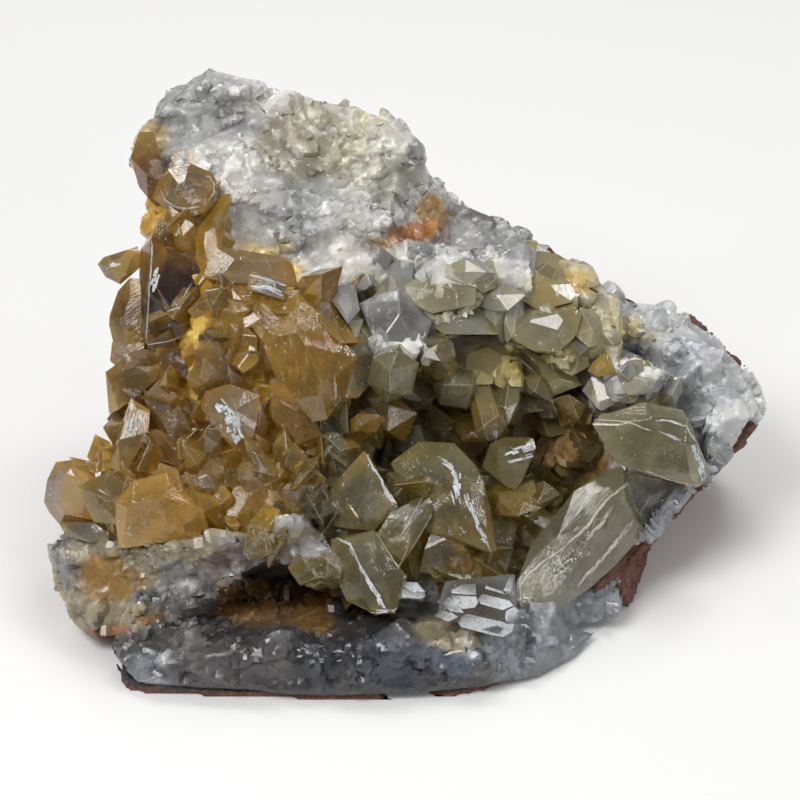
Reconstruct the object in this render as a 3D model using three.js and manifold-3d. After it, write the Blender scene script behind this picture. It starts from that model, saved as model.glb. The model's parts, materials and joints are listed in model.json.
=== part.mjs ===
// A celestite crystal cluster: a broken piece of a geode wall, resting on its flat-cut underside.
// Brown host rock covers its back and base, massive grey-white celestite makes the body, and crystals
// line the pocket and the left flank. Millimetres, Z up, the origin under the middle of the specimen.
//
// The specimen is described as it is looked at: from in front and VIEW_TILT above the horizon, with
// places given as [right, up, near] from the middle of the view. seen() turns them into the part's frame.

import * as THREE from "three";
import { ConvexGeometry } from "three/addons/geometries/ConvexGeometry.js";
import { mergeVertices } from "three/addons/utils/BufferGeometryUtils.js";
import Module from "manifold-3d";

const wasm = await Module();
wasm.setup();

// Driving dimensions, in millimetres and degrees.
const VIEW_TILT = 32;
const EYE_DISTANCE = 650;
const VIEW_HEIGHT = 36; // the middle of the view above the resting plane
const MIDDLE = { x: 2.1, y: 3.9 }; // the middle of the footprint, from under the middle of the view
const RIND_THICKNESS = 2.4;
const RIND_EDGE = { place: [0, 0, -18], way: [0, 0.75, 1] }; // no rind past this place, this way
const BASE_RIND = 1.6; // thickness of the rind under the body
const GAP = 0.45; // clearance between two pieces that touch
const LUMP_POINTS = 11;
const LUMP_ROUGHNESS = 0.2; // how far a corner of a lump may stand in, as a share of its radius
const LUMP_SQUARENESS = 3; // 2 is an ellipsoid, and more is boxier
const CORNER_PASSES = 30; // enough to bring a corner clear of all the sides that meet in it
const GOLDEN_ANGLE = Math.PI * (3 - Math.sqrt(5));

// A crystal's shape: its root ring, its flat sides and its tip, as shares of its width or length.
const ROOT_RING = 0.85;
const FLAT_SIDE = 0.55;
const TIP_TAPER = { ofWidth: 0.62, ofLength: 0.5, uneven: 0.2 };
const TIP_LEAN = 0.25;
const TIP_OFFSET = 0.15;

// Where each kind of piece starts in its stream of repeatable numbers.
const SEEDS = {
  knobs: 40,
  bare: 60,
  pocket: 70,
  recess: 80,
  ledge: 100,
  lining: 200,
  honey: 300,
  prism: 400,
  blade: 420,
  plate: 440,
  centre: 460,
  honeyRoots: 500,
  centreRoots: 540,
  rindChips: 700,
  chips: 900,
  mouth: 3,
};

const tilt = THREE.MathUtils.degToRad(VIEW_TILT);
const RIGHT = new THREE.Vector3(1, 0, 0);
const UP = new THREE.Vector3(0, Math.sin(tilt), Math.cos(tilt));
const NEAR = new THREE.Vector3(0, -Math.cos(tilt), Math.sin(tilt));
const BEHIND = new THREE.Vector3(0, 0.9, 0.2).normalize();

// The body, as convex blocks of corners at [right, up, near].
const LEFT_SLAB = [
  [-53.5, 47, -16], [-53, 54, -20], [-47, 62.5, -22], [-37, 66, -20], [-26, 64, -22], [-17, 61, -23],
  [-49, 34, -6], [-46, 28, -1], [-36, 22, 3], [-26, 18, 4], [-14, 16, 3],
  [-44, 48, -34], [-28, 52, -37], [-14, 48, -38], [-42, 18, -34], [-16, 10, -42],
];
const RIGHT_SLAB = [
  [-26, 63, -23], [-9, 60.5, -23], [0, 56.5, -24], [4.5, 51, -24], [8, 44, -22], [10, 37, -19],
  [-20, 17, 3], [-8, 14, 2], [2, 15, -1], [8, 19, -5],
  [-16, 50, -38], [0, 45, -39], [8, 35, -40], [4, 10, -42], [-16, 10, -42],
];
const RIDGE = [
  [6, 45, -26], [16, 38, -26], [25, 33, -27], [34.6, 27, -27], [42, 22.5, -27], [49, 19.5, -27],
  [4, 17, -6], [14, 16, -8], [27, 14, -10], [40, 11, -11], [48, 11, -14],
  [8, 32, -40], [24, 24, -43], [44, 14, -44], [6, 0, -44], [42, -2, -46],
];
const RIGHT_LOBE = [
  [44, 20, -27], [54, 18.8, -26], [60, 15.5, -24], [63.5, 11.5, -22], [66.5, 9, -21], [69, 5, -19],
  [70, 0, -16], [68, -5, -15], [50, 13, -15], [58, 9, -11], [63, 3, -9], [60, -5, -7], [53, -9, -9],
  [65, -8, -12], [50, 8, -42], [62, 2, -37], [64, -8, -34], [48, -10, -44],
];
const LOWER_RIGHT = [
  [64, -6.5, -14], [62.5, -11.5, -12], [55, -18.5, -10], [48, -25, -6], [43.5, -32, 0], [39, -29, -3],
  [48, -13, -7], [58, -8, -38], [47, -22, -38], [34, -20, -44],
];
const CORE = [
  [-30, 15, -6], [-38, -5, -2], [-35, -30, 3], [-10, -35, 9], [20, -35, 9], [40, -30, 0], [52, -14, -8],
  [52, 5, -13], [30, 14, -10], [0, 18, -5], [-38, 12, -37], [-34, -6, -42], [-2, 22, -44], [28, 12, -48],
  [48, -5, -44], [46, -16, -40], [0, -9, -50], [28, -10, -50],
];
const LEFT_FLANK = [
  [-47, 33, -8], [-51, 20, -7], [-52, 5, -4], [-53, -8, 0], [-58, -16, 2], [-63, -28, 4], [-64.5, -40, 6],
  [-59, -48, 10], [-46, -46, 14], [-30, -36, 17], [-13, -35, 16], [-12, -24, 10], [-14, -5, 2],
  [-20, 12, -2], [-30, 20, -2], [-40, 28, -30], [-46, 5, -34], [-50, -20, -27], [-48, -40, -16],
  [-20, 0, -42], [-15, -30, -20],
];
const BASE = [
  [-52, -57.5, 20], [-46, -57.5, 20], [-32, -58, 21], [-20, -59, 22], [7, -59, 22], [16, -57.5, 19.5],
  [23, -54.5, 15.5], [28, -52, 12], [36, -47.5, 6], [41.5, -43.5, 0], [44, -39.5, -4],
  [-56, -47, 19], [-45, -47.5, 24], [-30, -49, 26], [-15, -49.5, 27], [0, -48, 27.5], [12, -47.5, 26],
  [22, -45, 22], [30, -42, 16], [38, -36, 8], [43, -32.5, 0], [-50, -30, -18], [-34, -14, -40],
  [0, -12, -50], [28, -12, -50], [47, -20, -38],
];
const BACK = [
  [-46, 46, -31], [-28, 52, -38], [0, 46, -40], [24, 26, -45], [50, 10, -44], [62, -3, -37], [62, -8, -30],
  [-49, 14, -34], [-53, -20, -26], [-50, -38, -12], [-34, -15, -42], [0, -12, -52], [28, -12, -52],
  [47, -20, -40], [44, -28, -24], [0, -40, -20],
];
const BLOCKS = [LEFT_SLAB, RIGHT_SLAB, RIDGE, RIGHT_LOBE, LOWER_RIGHT, CORE, LEFT_FLANK, BASE, BACK];

// Lumps that stand out of the blocks: [right, up, near], [half width, half height, half depth].
const KNOBS = [
  [[-33.5, 60, -18], [7, 6, 6]],
  [[-43, 57, -20], [8, 7, 7]],
  [[-20, 53, -19], [10, 9, 6]],
  [[-5, 49, -20], [11, 10, 7]],
  [[-27, 39, -10], [10, 9, 6]],
  [[-41, 45, -12], [9, 9, 8]],
  [[-8, 33, -10], [11, 10, 8]],
  [[2, 26, -8], [9, 8, 7]],
  [[20, 27, -17], [10, 7, 8]],
  [[50, 15, -18], [9, 6, 8]],
  [[60, 5, -13], [8, 7, 7]],
  [[64, -3, -12], [6, 8, 7]],
  [[-60, -41, 9], [8, 6, 8]],
  [[-48, -42, 14], [10, 6, 8]],
  [[-49, -51, 18], [10, 8, 8]],
  [[-28, -50, 24], [13, 5, 7]],
  [[-4, -51, 24], [12, 7, 8]],
  [[12, -51, 22], [9, 6, 8]],
  [[26, -48, 14], [9, 7, 8]],
  [[38, -41, 3], [7, 6, 8]],
];
const CHIPS = { count: 22, least: 2.5, most: 6.5, sunk: 0.3 };
const RIND_CHIPS = { count: 16, least: 6, most: 12, sunk: 0.3 };
const CHIPPED = [[-62, 66], [-58, 62]]; // the stretch of the specimen that is chipped: across, and up

// Hollows in the body: the crystal pocket with its mouth, and the recess under the left flank.
const POCKET = [
  [[13, -6, -3], [31, 17, 23]],
  [[5, -21, 16], [21, 14, 15]],
  [[34, -15, 0], [15, 13, 14]],
];
const RECESS = [
  [[-25, -40, 22], [14, 6, 9]],
  [[-22, -35, 12], [12, 5.5, 9]],
];

// Where the rind has broken away.
const BARE = [
  [[38, -44, 8], [15, 9, 16]],
  [[10, -36, 16], [36, 9, 15]],
  [[-56, -38, 2], [20, 18, 22]],
  [[4, -57, 27], [14, 5, 7]],
  [[-30, -54, 28], [12, 5, 8]],
  [[62, 4, -20], [12, 7, 9]],
  [[-34, 12, -38], [16, 12, 12]],
];

// Crystals: [tip], [root], [width, thickness, turn about the axis in degrees, width of the tip's edge].
const LEDGE = [
  [[0, 5.2, 12], [-1.5, 24, -2], [13, 9, 35, 0.2]],
  [[5.5, 9, 8], [6, 22, -2], [9, 7, -20, 0.4]],
  [[-10.6, 14, 12], [-10, 26, 4], [8, 6, 0, 0.05]],
  [[10, 17.5, 9], [9, 28, -4], [14, 9, 0, 0.7]],
  [[23, 20, 4], [22, 30, -8], [12, 9, 10, 0.6]],
  [[34, 18.5, 0], [32, 26, -10], [11, 8, 0, 0.5]],
  [[28, 10, 4], [30, 20, -10], [17, 10, 0, 0.75]],
  [[6.5, 8.2, 9], [6, 12, 2], [3.6, 3, 0, 0]],
  [[17, 3, -4], [18, 15, -14], [19, 12, 0, 0.8]],
  [[33, 6, 0], [33, 14, -10], [9, 7, 20, 0.5]],
  [[40, 10, -2], [41, 20, -10], [8, 7, 0, 0.6]],
  [[43, 5, 2], [54, 3, -6], [7, 6, 10, 0.9]],
  [[39, 7.5, 2], [44, 9, -8], [6, 5, 0, 0.5]],
  [[40, 1, 0], [50, -1, -9], [8, 7, 0, 0.6]],
];

const HONEY_ROOTS = [
  [[-56, -22, 6], [12, 13, 9]],
  [[-52, -35, 12], [14, 9, 8]],
  [[-44, -10, 5], [13, 14, 9]],
  [[-26, -20, 12], [16, 11, 8]],
  [[-46, 12, -1], [11, 13, 9]],
  [[-25, 3, 6], [17, 14, 8]],
  [[-30, 20, 2], [15, 9, 7]],
  [[-43, 36, -6], [8, 10, 7]],
];
const HONEY = [
  [[-47.5, 37, 4], [-45, 9, 6], [12, 8, 20, 0.3]],
  [[-60.6, 27, 1], [-41, 25, 2], [8.5, 8, 0, 0.5]],
  [[-58.8, 15.6, 0], [-44, 14, -2], [11, 8, 20, 0.6]],
  [[-58.6, -1, 5], [-42, 9, 6], [10, 6, 10, 0.5]],
  [[-46, 6, 14], [-40, 4, 2], [10, 8, 0, 0.5]],
  [[-50.5, -4, 16], [-56, -18, 8], [7, 5, -25, 0.8]],
  [[-61.2, -6.5, 9], [-54, -18, 6], [6, 5, 0, 0.2]],
  [[-71.4, -19, 8], [-52, -18, 4], [14, 12, 0, 0.45]],
  [[-65, -17.5, 17], [-54, -24, 8], [10, 9, 30, 0.6]],
  [[-67.5, -27, 9], [-54, -27, 6], [6, 7, 0, 0.5]],
  [[-55, -19, 25], [-50, -26, 10], [13, 14, 20, 0.7]],
  [[-44, -11, 22], [-40, -25, 14], [5, 3, 75, 0.1]],
  [[-40, -9.4, 20], [-39, -26, 12], [9, 4, 60, 0.1]],
  [[-45, -13, 20], [-42, -28, 12], [9, 4, -40, 0.2]],
  [[-33, -14, 22], [-37, -26, 14], [6, 4, 60, 0.1]],
  [[-31.5, -12.5, 22], [-35, 4, 8], [12, 10, 15, 0.5]],
  [[-19, 21.5, 14], [-18, -6, 10], [18, 9, 0, 0.1]],
  [[-9.6, -1, 12], [-4, 17, 4], [9, 7, 20, 0.6]],
  [[-26, 22, 13], [-34, 12, 2], [12, 10, 0, 0.6]],
  [[-22.5, 21.5, 14], [-33, 24.5, 9], [5, 4.6, 0, 1]],
  [[-20, 27, 9], [-38, 27, 4], [9, 9, 10, 0.8]],
  [[-46, 42, 6], [-38, 38, -8], [13, 11, 0, 0.7]],
  [[-36.5, 41, 5], [-37, 20, 4], [7, 7, 0, 0.4]],
  [[-53.4, 47.6, -9], [-43, 42, -9], [10, 8, 0, 0.3]],
  [[-42, 2, 16], [-40, -6, 4], [11, 8, 45, 0.4]],
  [[-28, -19, 22], [-26, -26, 8], [14, 10, -30, 0.5]],
  [[-18, -16, 20], [-18, -26, 8], [12, 9, 20, 0.4]],
  [[-15, -10.4, 15], [-22, -10, 8], [7, 6, 0, 0.1]],
  [[-58, -35, 22], [-52, -40, 8], [13, 9, 10, 0.5]],
  [[-64, -38, 13], [-56, -30, 6], [10, 9, 0, 0.6]],
];

const CENTRE_ROOTS = [
  [[-9, -28, 12], [9, 8, 8]],
  [[4, -27, 8], [10, 8, 10]],
  [[16, -24, 6], [10, 8, 9]],
];
const CENTRE = [
  [[-7, -10, 18], [-9, -28, 10], [15, 10, 15, 0.15]],
  [[-3, -43, 28], [-11, -27, 14], [13, 10, 25, 0.5]],
  [[-0.4, -34.5, 24], [3, -17, 9], [11, 8, -10, 0.1]],
  [[18, -31, 24], [5, -10, 4], [14, 11, 15, 0.1]],
  [[13, -35, 20], [6, -27, 8], [7, 7, 20, 0.2]],
  [[20.5, -17.5, 14], [21, -26, 2], [10, 8, 20, 0.4]],
  [[28, -22.5, 11], [17, -18, 4], [8, 7, 0, 0.1]],
  [[-16, -14, 14], [-9, -23, 8], [10, 8, 10, 0.4]],
  [[18, -37, 16], [19, -26, 4], [8, 7, 0, 0.6]],
];
const PRISM = [[[39, -7, 9], [62, -11, -4], [14, 13, 20, 0.45]]];
const BLADE = [
  [[47.5, -17.5, 2], [25, -41, 20], [12, 10, -25, 0.8]],
  [[58, -16, 0], [46, -28, 0], [9, 8, 0, 0.5]],
];
const PLATE = [[[24.5, -45, 28], [3, -38, 22], [10, 6, -20, 0.6]]];

// The pocket's lining: crystals in rows over the hollow's back wall, leaning towards its mouth. The
// rows and columns reach to the shares given of the hollow's half height and half width.
const LINING = {
  seed: 7,
  rows: 4,
  columns: 5,
  reach: [0.9, 0.85],
  length: [10, 15],
  width: [7, 11],
  flatness: 0.7,
  chisel: 0.3,
  lean: 0.5,
  skin: 1.8,
  front: 0.75,
};

// A repeatable stream of numbers from 0 to 1.
class Draws {
  constructor(seed) {
    this.state = seed;
    this.next();
  }
  next() {
    this.state = (this.state * 1664525 + 1013904223) % 4294967296;
    return this.state / 4294967296;
  }
  between(low, high) {
    return low + (high - low) * this.next();
  }
}

// A place in the view, turned into the part's frame along its line of sight.
function seen([right, up, near]) {
  const spread = (EYE_DISTANCE - near) / EYE_DISTANCE;
  return new THREE.Vector3(-MIDDLE.x, -MIDDLE.y, VIEW_HEIGHT)
    .addScaledVector(RIGHT, right * spread)
    .addScaledVector(UP, up * spread)
    .addScaledVector(NEAR, near);
}

function solid(geometry) {
  const bare = new THREE.BufferGeometry().setAttribute("position", geometry.getAttribute("position"));
  if (geometry.index) bare.setIndex(geometry.index);
  const merged = mergeVertices(bare, 1e-4);
  return new wasm.Manifold(
    new wasm.Mesh({
      numProp: 3,
      vertProperties: merged.attributes.position.array,
      triVerts: new Uint32Array(merged.index.array),
    }),
  );
}

function facesOf(points) {
  const place = new ConvexGeometry(points).getAttribute("position");
  return Array.from({ length: place.count / 3 }, (_, k) =>
    new THREE.Triangle().setFromAttributeAndIndices(place, 3 * k, 3 * k + 1, 3 * k + 2),
  );
}

// The convex solid round some points, with its sides moved out by the distance given.
function hull(points, grow = 0) {
  if (grow === 0) return solid(new ConvexGeometry(points));
  const faces = facesOf(points);
  const moved = points.map((point) => {
    const normals = faces
      .filter((face) => [face.a, face.b, face.c].some((corner) => corner.distanceTo(point) < 1e-3))
      .map((face) => face.getNormal(new THREE.Vector3()));
    const way = new THREE.Vector3();
    for (let pass = 0; pass < CORNER_PASSES; pass++)
      for (const normal of normals) way.addScaledVector(normal, Math.max(0, 1 - normal.dot(way)));
    return point.clone().addScaledVector(way, grow);
  });
  return solid(new ConvexGeometry(moved));
}

const joined = (shapes) => shapes.reduce((whole, shape) => whole.add(shape));
const cutBy = (shape, tools) => tools.reduce((left, tool) => left.subtract(tool), shape);
const largest = (shape) => shape.decompose().reduce((a, b) => (a.volume() > b.volume() ? a : b));

// Points spread over a boxy ellipsoid, each drawn in a little, as the corners of broken rock.
function lumpPoints(centre, [across, tall, deep], seed) {
  const draws = new Draws(seed);
  const points = [];
  for (let k = 0; k < LUMP_POINTS; k++) {
    const level = 1 - (2 * (k + 0.5)) / LUMP_POINTS;
    const ring = Math.sqrt(1 - level * level);
    const angle = k * GOLDEN_ANGLE + seed;
    const way = [ring * Math.cos(angle), level, ring * Math.sin(angle)];
    const total = way.reduce((sum, part) => sum + Math.abs(part) ** LUMP_SQUARENESS, 0);
    const size = (1 - LUMP_ROUGHNESS * draws.next()) / total ** (1 / LUMP_SQUARENESS);
    points.push(
      centre
        .clone()
        .addScaledVector(RIGHT, across * size * way[0])
        .addScaledVector(UP, tall * size * way[1])
        .addScaledVector(NEAR, deep * size * way[2]),
    );
  }
  return points;
}

// The corners of a crystal: a flattened six-sided prism that ends in a chisel edge, or in a point.
function crystalPoints([tip, root, [width, thickness, turn, chisel]], seed) {
  const draws = new Draws(seed * 31 + 5);
  const start = seen(root);
  const axis = seen(tip).sub(start);
  const length = axis.length();
  axis.normalize();
  const face = NEAR.clone().addScaledVector(axis, -NEAR.dot(axis));
  if (face.length() < 0.2) face.copy(UP).addScaledVector(axis, -UP.dot(axis));
  face.normalize().applyAxisAngle(axis, THREE.MathUtils.degToRad(turn));
  const side = axis.clone().cross(face);
  const taper = Math.min(TIP_TAPER.ofWidth * width, TIP_TAPER.ofLength * length);
  const at = (along, across, out) =>
    start
      .clone()
      .addScaledVector(axis, along)
      .addScaledVector(side, (across * width) / 2)
      .addScaledVector(face, (out * thickness) / 2);
  const points = [];
  const lean = draws.between(-TIP_LEAN, TIP_LEAN) * (1 - chisel);
  const flat = FLAT_SIDE;
  for (const [across, out] of [[1, 0], [flat, 1], [-flat, 1], [-1, 0], [-flat, -1], [flat, -1]]) {
    points.push(at(0, ROOT_RING * across, ROOT_RING * out));
    const shoulder = draws.between(1 - TIP_TAPER.uneven, 1 + TIP_TAPER.uneven);
    points.push(at(length - taper * shoulder, across, out));
  }
  for (const across of chisel > 0 ? [-chisel, chisel] : [0])
    points.push(at(length, lean + across, draws.between(-TIP_OFFSET, TIP_OFFSET)));
  return points;
}

const blocks = (list, grow) => joined(list.map((corners) => hull(corners.map(seen), grow)));
const crystals = (list, seed, grow) =>
  joined(list.map((row, k) => hull(crystalPoints(row, seed + k), grow)));
const lumpList = (list, seed, grow) =>
  list.map(([at, size], k) => hull(lumpPoints(seen(at), size, seed + k), grow));
const lumps = (list, seed, grow) => joined(lumpList(list, seed, grow));

// Small broken pieces where a body is met from one way, sunk part of the way into it.
function chips(body, way, { count, least, most, sunk }, seed, grow) {
  const draws = new Draws(seed);
  const [across, up] = CHIPPED;
  const upward = way.clone().cross(RIGHT).normalize();
  if (upward.z < 0) upward.negate();
  const pieces = [];
  while (pieces.length < count) {
    const place = new THREE.Vector3(-MIDDLE.x, -MIDDLE.y, VIEW_HEIGHT)
      .addScaledVector(RIGHT, draws.between(...across))
      .addScaledVector(upward, draws.between(...up))
      .addScaledVector(way, EYE_DISTANCE);
    const half = draws.between(least, most);
    const [hit] = new THREE.Raycaster(place, way.clone().negate()).intersectObjects(body);
    if (!hit) continue;
    const centre = hit.point.addScaledVector(hit.face.normal, -half * sunk);
    const size = [half, half * draws.between(0.6, 1), half * draws.between(0.6, 1)];
    pieces.push(hull(lumpPoints(centre, size, seed + pieces.length), grow));
  }
  return joined(pieces);
}

// Everything to one side of a place.
function halfSpace(place, way) {
  const toward = new THREE.Quaternion().setFromUnitVectors(new THREE.Vector3(0, 0, 1), way);
  const box = new THREE.BoxGeometry(400, 400, 200).translate(0, 0, 100);
  return solid(box.applyQuaternion(toward).translate(place.x, place.y, place.z));
}
const below = (level) => halfSpace(new THREE.Vector3(0, 0, level), new THREE.Vector3(0, 0, -1));

// The hollows cut from the body, smaller by the gap given, so that what stands round them is thicker.
const hollows = (shrink) => [
  ...lumpList(POCKET, SEEDS.pocket, -shrink),
  ...lumpList(RECESS, SEEDS.recess, -shrink),
];

const blockMeshes = BLOCKS.map((corners) => new THREE.Mesh(new ConvexGeometry(corners.map(seen))));

// The massive celestite, with the pale crystals on the pocket's upper ledge.
function massShape(grow) {
  const small = chips(blockMeshes, NEAR, CHIPS, SEEDS.chips, grow);
  const broken = lumps(KNOBS, SEEDS.knobs, grow).add(small);
  const body = cutBy(blocks(BLOCKS, grow).add(broken), hollows(grow));
  return body.add(crystals(LEDGE, SEEDS.ledge, grow)).subtract(below(BASE_RIND - grow));
}

// The brown host rock: a coat on the body's back, lower sides and underside.
function rindShape(grow) {
  const [across, up, near] = RIND_EDGE.way;
  const way = new THREE.Vector3().addScaledVector(RIGHT, across).addScaledVector(UP, up);
  way.addScaledVector(NEAR, near).normalize();
  const bare = halfSpace(seen(RIND_EDGE.place).addScaledVector(way, grow), way);
  const rough = chips(blockMeshes, BEHIND, RIND_CHIPS, SEEDS.rindChips, grow);
  const body = blocks(BLOCKS, RIND_THICKNESS + grow).add(rough);
  return cutBy(body, [bare, ...lumpList(BARE, SEEDS.bare, -grow), ...hollows(grow), below(-grow)]);
}

// Crystals on the back of the pocket: rooted on its main hollow's wall and leaning towards its mouth.
function liningRows() {
  const [[centre, size]] = POCKET;
  const draws = new Draws(LINING.seed);
  const inCell = (index, cells, reach) => ((index + draws.between(0.1, 0.9)) / cells) * 2 * reach - reach;
  const rows = [];
  for (let row = 0; row < LINING.rows; row++)
    for (let column = 0; column < LINING.columns; column++) {
      const across = inCell(column, LINING.columns, LINING.reach[0]);
      const tall = inCell(row, LINING.rows, LINING.reach[1]);
      const depth = 1 - across * across - tall * tall;
      const length = draws.between(...LINING.length);
      const width = draws.between(...LINING.width);
      const turn = draws.between(0, 180);
      const lean = [draws.between(-LINING.lean, LINING.lean), draws.between(-LINING.lean, LINING.lean)];
      if (depth < 0.05) continue;
      const deep = -Math.sqrt(depth);
      const root = [across, tall, deep].map((way, k) => centre[k] + size[k] * way);
      const inward = [-across + lean[0], -tall + lean[1], -deep];
      const steps = length / Math.hypot(...inward);
      const tip = root.map((value, k) => value + inward[k] * steps);
      rows.push([tip, root, [width, width * LINING.flatness, turn, LINING.chisel]]);
    }
  return rows;
}

// The crust: a thin skin on the pocket's back wall with the lining's crystals on it.
function liningShape() {
  const [[centre, size]] = POCKET;
  const mouth = [centre[0], centre[1], centre[2] + size[2] * LINING.front];
  const [outer] = lumpList(POCKET, SEEDS.pocket, 0);
  const [inner] = lumpList(POCKET, SEEDS.pocket, -LINING.skin);
  const front = hull(lumpPoints(seen(mouth), [2 * size[0], 2 * size[0], size[2]], SEEDS.mouth));
  return outer.subtract(inner).subtract(front).add(crystals(liningRows(), SEEDS.lining, 0));
}

function node(name, shape, color, roughness) {
  const mesh = shape.getMesh();
  const geometry = new THREE.BufferGeometry()
    .setAttribute("position", new THREE.BufferAttribute(mesh.vertProperties, 3))
    .setIndex(new THREE.BufferAttribute(mesh.triVerts, 1));
  const material = new THREE.MeshStandardMaterial({ color, roughness, metalness: 0, flatShading: true });
  const made = new THREE.Mesh(geometry, material);
  made.name = name;
  return made;
}

const massAround = massShape(GAP);
const mass = largest(massShape(0));
const rind = largest(rindShape(0).subtract(massAround));

// The free crystals, each cut where it grows from the rock and from the pieces before it.
const around = [massAround, rindShape(GAP)];
function grown(shape) {
  const cut = largest(cutBy(shape(0), around));
  around.push(shape(GAP));
  return cut;
}
const honey = grown((grow) =>
  lumps(HONEY_ROOTS, SEEDS.honeyRoots, grow).add(crystals(HONEY, SEEDS.honey, grow)),
);
const prism = grown((grow) => crystals(PRISM, SEEDS.prism, grow));
const blade = grown((grow) => crystals(BLADE, SEEDS.blade, grow));
const plate = grown((grow) => crystals(PLATE, SEEDS.plate, grow));
const centre = grown((grow) =>
  lumps(CENTRE_ROOTS, SEEDS.centreRoots, grow).add(crystals(CENTRE, SEEDS.centre, grow)),
);
const lining = largest(cutBy(liningShape(), around));

const cluster = new THREE.Group();
cluster.add(node("matrix_rind", rind, 0x6b4a3c, 0.95));
cluster.add(node("celestite_mass", mass, 0xb9bcbd, 0.5));
cluster.add(node("honey_crystals", honey, 0xa9772c, 0.25));
cluster.add(node("pocket_crystals", lining, 0x6d6a4a, 0.25));
cluster.add(node("center_crystals", centre, 0x8d8e70, 0.2));
cluster.add(node("right_prism_crystal", prism, 0x9c9a78, 0.2));
cluster.add(node("lower_right_blade", blade, 0x9a9c80, 0.2));
cluster.add(node("striated_plate", plate, 0xa7a9a6, 0.2));

export default cluster;
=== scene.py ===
# The celestite crystal cluster: a broken piece of a geode wall with its crystal pocket, on a pale floor.
import json
import math

import bmesh
import bpy
import numpy as np
from mathutils import Matrix, Vector
from mathutils.bvhtree import BVHTree
from mathutils.kdtree import KDTree

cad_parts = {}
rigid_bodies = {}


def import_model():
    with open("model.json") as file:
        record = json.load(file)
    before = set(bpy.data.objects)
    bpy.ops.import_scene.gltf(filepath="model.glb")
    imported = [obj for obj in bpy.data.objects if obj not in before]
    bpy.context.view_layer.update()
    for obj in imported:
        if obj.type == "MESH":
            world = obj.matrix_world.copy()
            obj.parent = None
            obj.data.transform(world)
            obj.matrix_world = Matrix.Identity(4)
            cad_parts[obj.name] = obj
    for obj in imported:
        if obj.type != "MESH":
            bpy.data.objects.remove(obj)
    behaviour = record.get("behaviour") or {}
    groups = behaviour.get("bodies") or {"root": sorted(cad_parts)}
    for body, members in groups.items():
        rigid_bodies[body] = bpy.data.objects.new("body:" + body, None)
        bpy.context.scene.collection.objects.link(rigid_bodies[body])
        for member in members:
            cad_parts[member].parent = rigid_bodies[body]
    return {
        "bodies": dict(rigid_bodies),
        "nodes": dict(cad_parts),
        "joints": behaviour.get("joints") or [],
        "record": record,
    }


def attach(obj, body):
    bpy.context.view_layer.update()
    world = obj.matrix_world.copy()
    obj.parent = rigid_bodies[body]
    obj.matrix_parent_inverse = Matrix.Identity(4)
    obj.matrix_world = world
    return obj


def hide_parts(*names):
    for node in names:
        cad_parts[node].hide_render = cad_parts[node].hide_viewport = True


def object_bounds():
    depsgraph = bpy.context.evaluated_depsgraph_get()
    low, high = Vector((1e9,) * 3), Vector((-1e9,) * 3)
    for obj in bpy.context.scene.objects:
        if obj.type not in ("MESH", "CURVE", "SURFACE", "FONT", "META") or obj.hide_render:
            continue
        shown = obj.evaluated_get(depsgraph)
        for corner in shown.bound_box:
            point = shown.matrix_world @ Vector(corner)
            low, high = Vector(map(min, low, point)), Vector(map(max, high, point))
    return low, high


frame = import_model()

CAD_LOW, CAD_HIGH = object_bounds()
MM = 0.001

# The view: from in front and 32 degrees above the horizon. Places are [right, up, near] in millimetres
# from the middle of the view, as in the part's source.
VIEW_TILT = math.radians(32)
EYE_DISTANCE = 650
VIEW_MIDDLE = Vector((-2.1, -3.9, 36))
SENSOR = 36
VIEW_WIDTH = 160
RIGHT = Vector((1, 0, 0))
UP = Vector((0, math.sin(VIEW_TILT), math.cos(VIEW_TILT)))
NEAR = Vector((0, -math.cos(VIEW_TILT), math.sin(VIEW_TILT)))
VIEW_AXES = np.array([RIGHT, UP, NEAR])
EYE = (VIEW_MIDDLE + NEAR * EYE_DISTANCE) * MM


def seen(place):
    """A place in the view, in metres in the part's frame, moved along its line of sight."""
    right, up, near = place
    widening = (EYE_DISTANCE - near) / EYE_DISTANCE
    return (VIEW_MIDDLE + RIGHT * right * widening + UP * up * widening + NEAR * near) * MM


def in_view(points):
    """Points of the part's frame, in metres, as [right, up, near] in millimetres."""
    local = (np.asarray(points) / MM - np.array(VIEW_MIDDLE)) @ VIEW_AXES.T
    widening = (EYE_DISTANCE - local[:, 2]) / EYE_DISTANCE
    return np.column_stack([local[:, 0] / widening, local[:, 1] / widening, local[:, 2]])


def inside(view, place, half):
    """Which points of the view lie in an ellipsoid, by its middle and half sizes."""
    return np.linalg.norm((view - np.array(place)) / np.array(half), axis=1) < 1


def add_camera():
    camera = bpy.data.objects.new("camera", bpy.data.cameras.new("camera"))
    bpy.context.scene.collection.objects.link(camera)
    camera.data.sensor_width = SENSOR
    camera.data.lens = SENSOR * EYE_DISTANCE / VIEW_WIDTH
    camera.data.clip_start = 0.01
    camera.data.clip_end = 100
    camera.location = EYE
    camera.rotation_euler = (-NEAR).to_track_quat("-Z", "Y").to_euler()
    bpy.context.scene.camera = camera


add_camera()


# Colours, as they look in plain daylight; near black, dark grey and deep blue also serve in part as painted shade.
def daylight(red, green, blue):
    """A colour of 0 to 255 as it looks, turned into linear light."""
    parts = (red, green, blue)
    return np.array([((part / 255 + 0.055) / 1.055) ** 2.4 if part > 10 else part / 3294.6 for part in parts])


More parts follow.
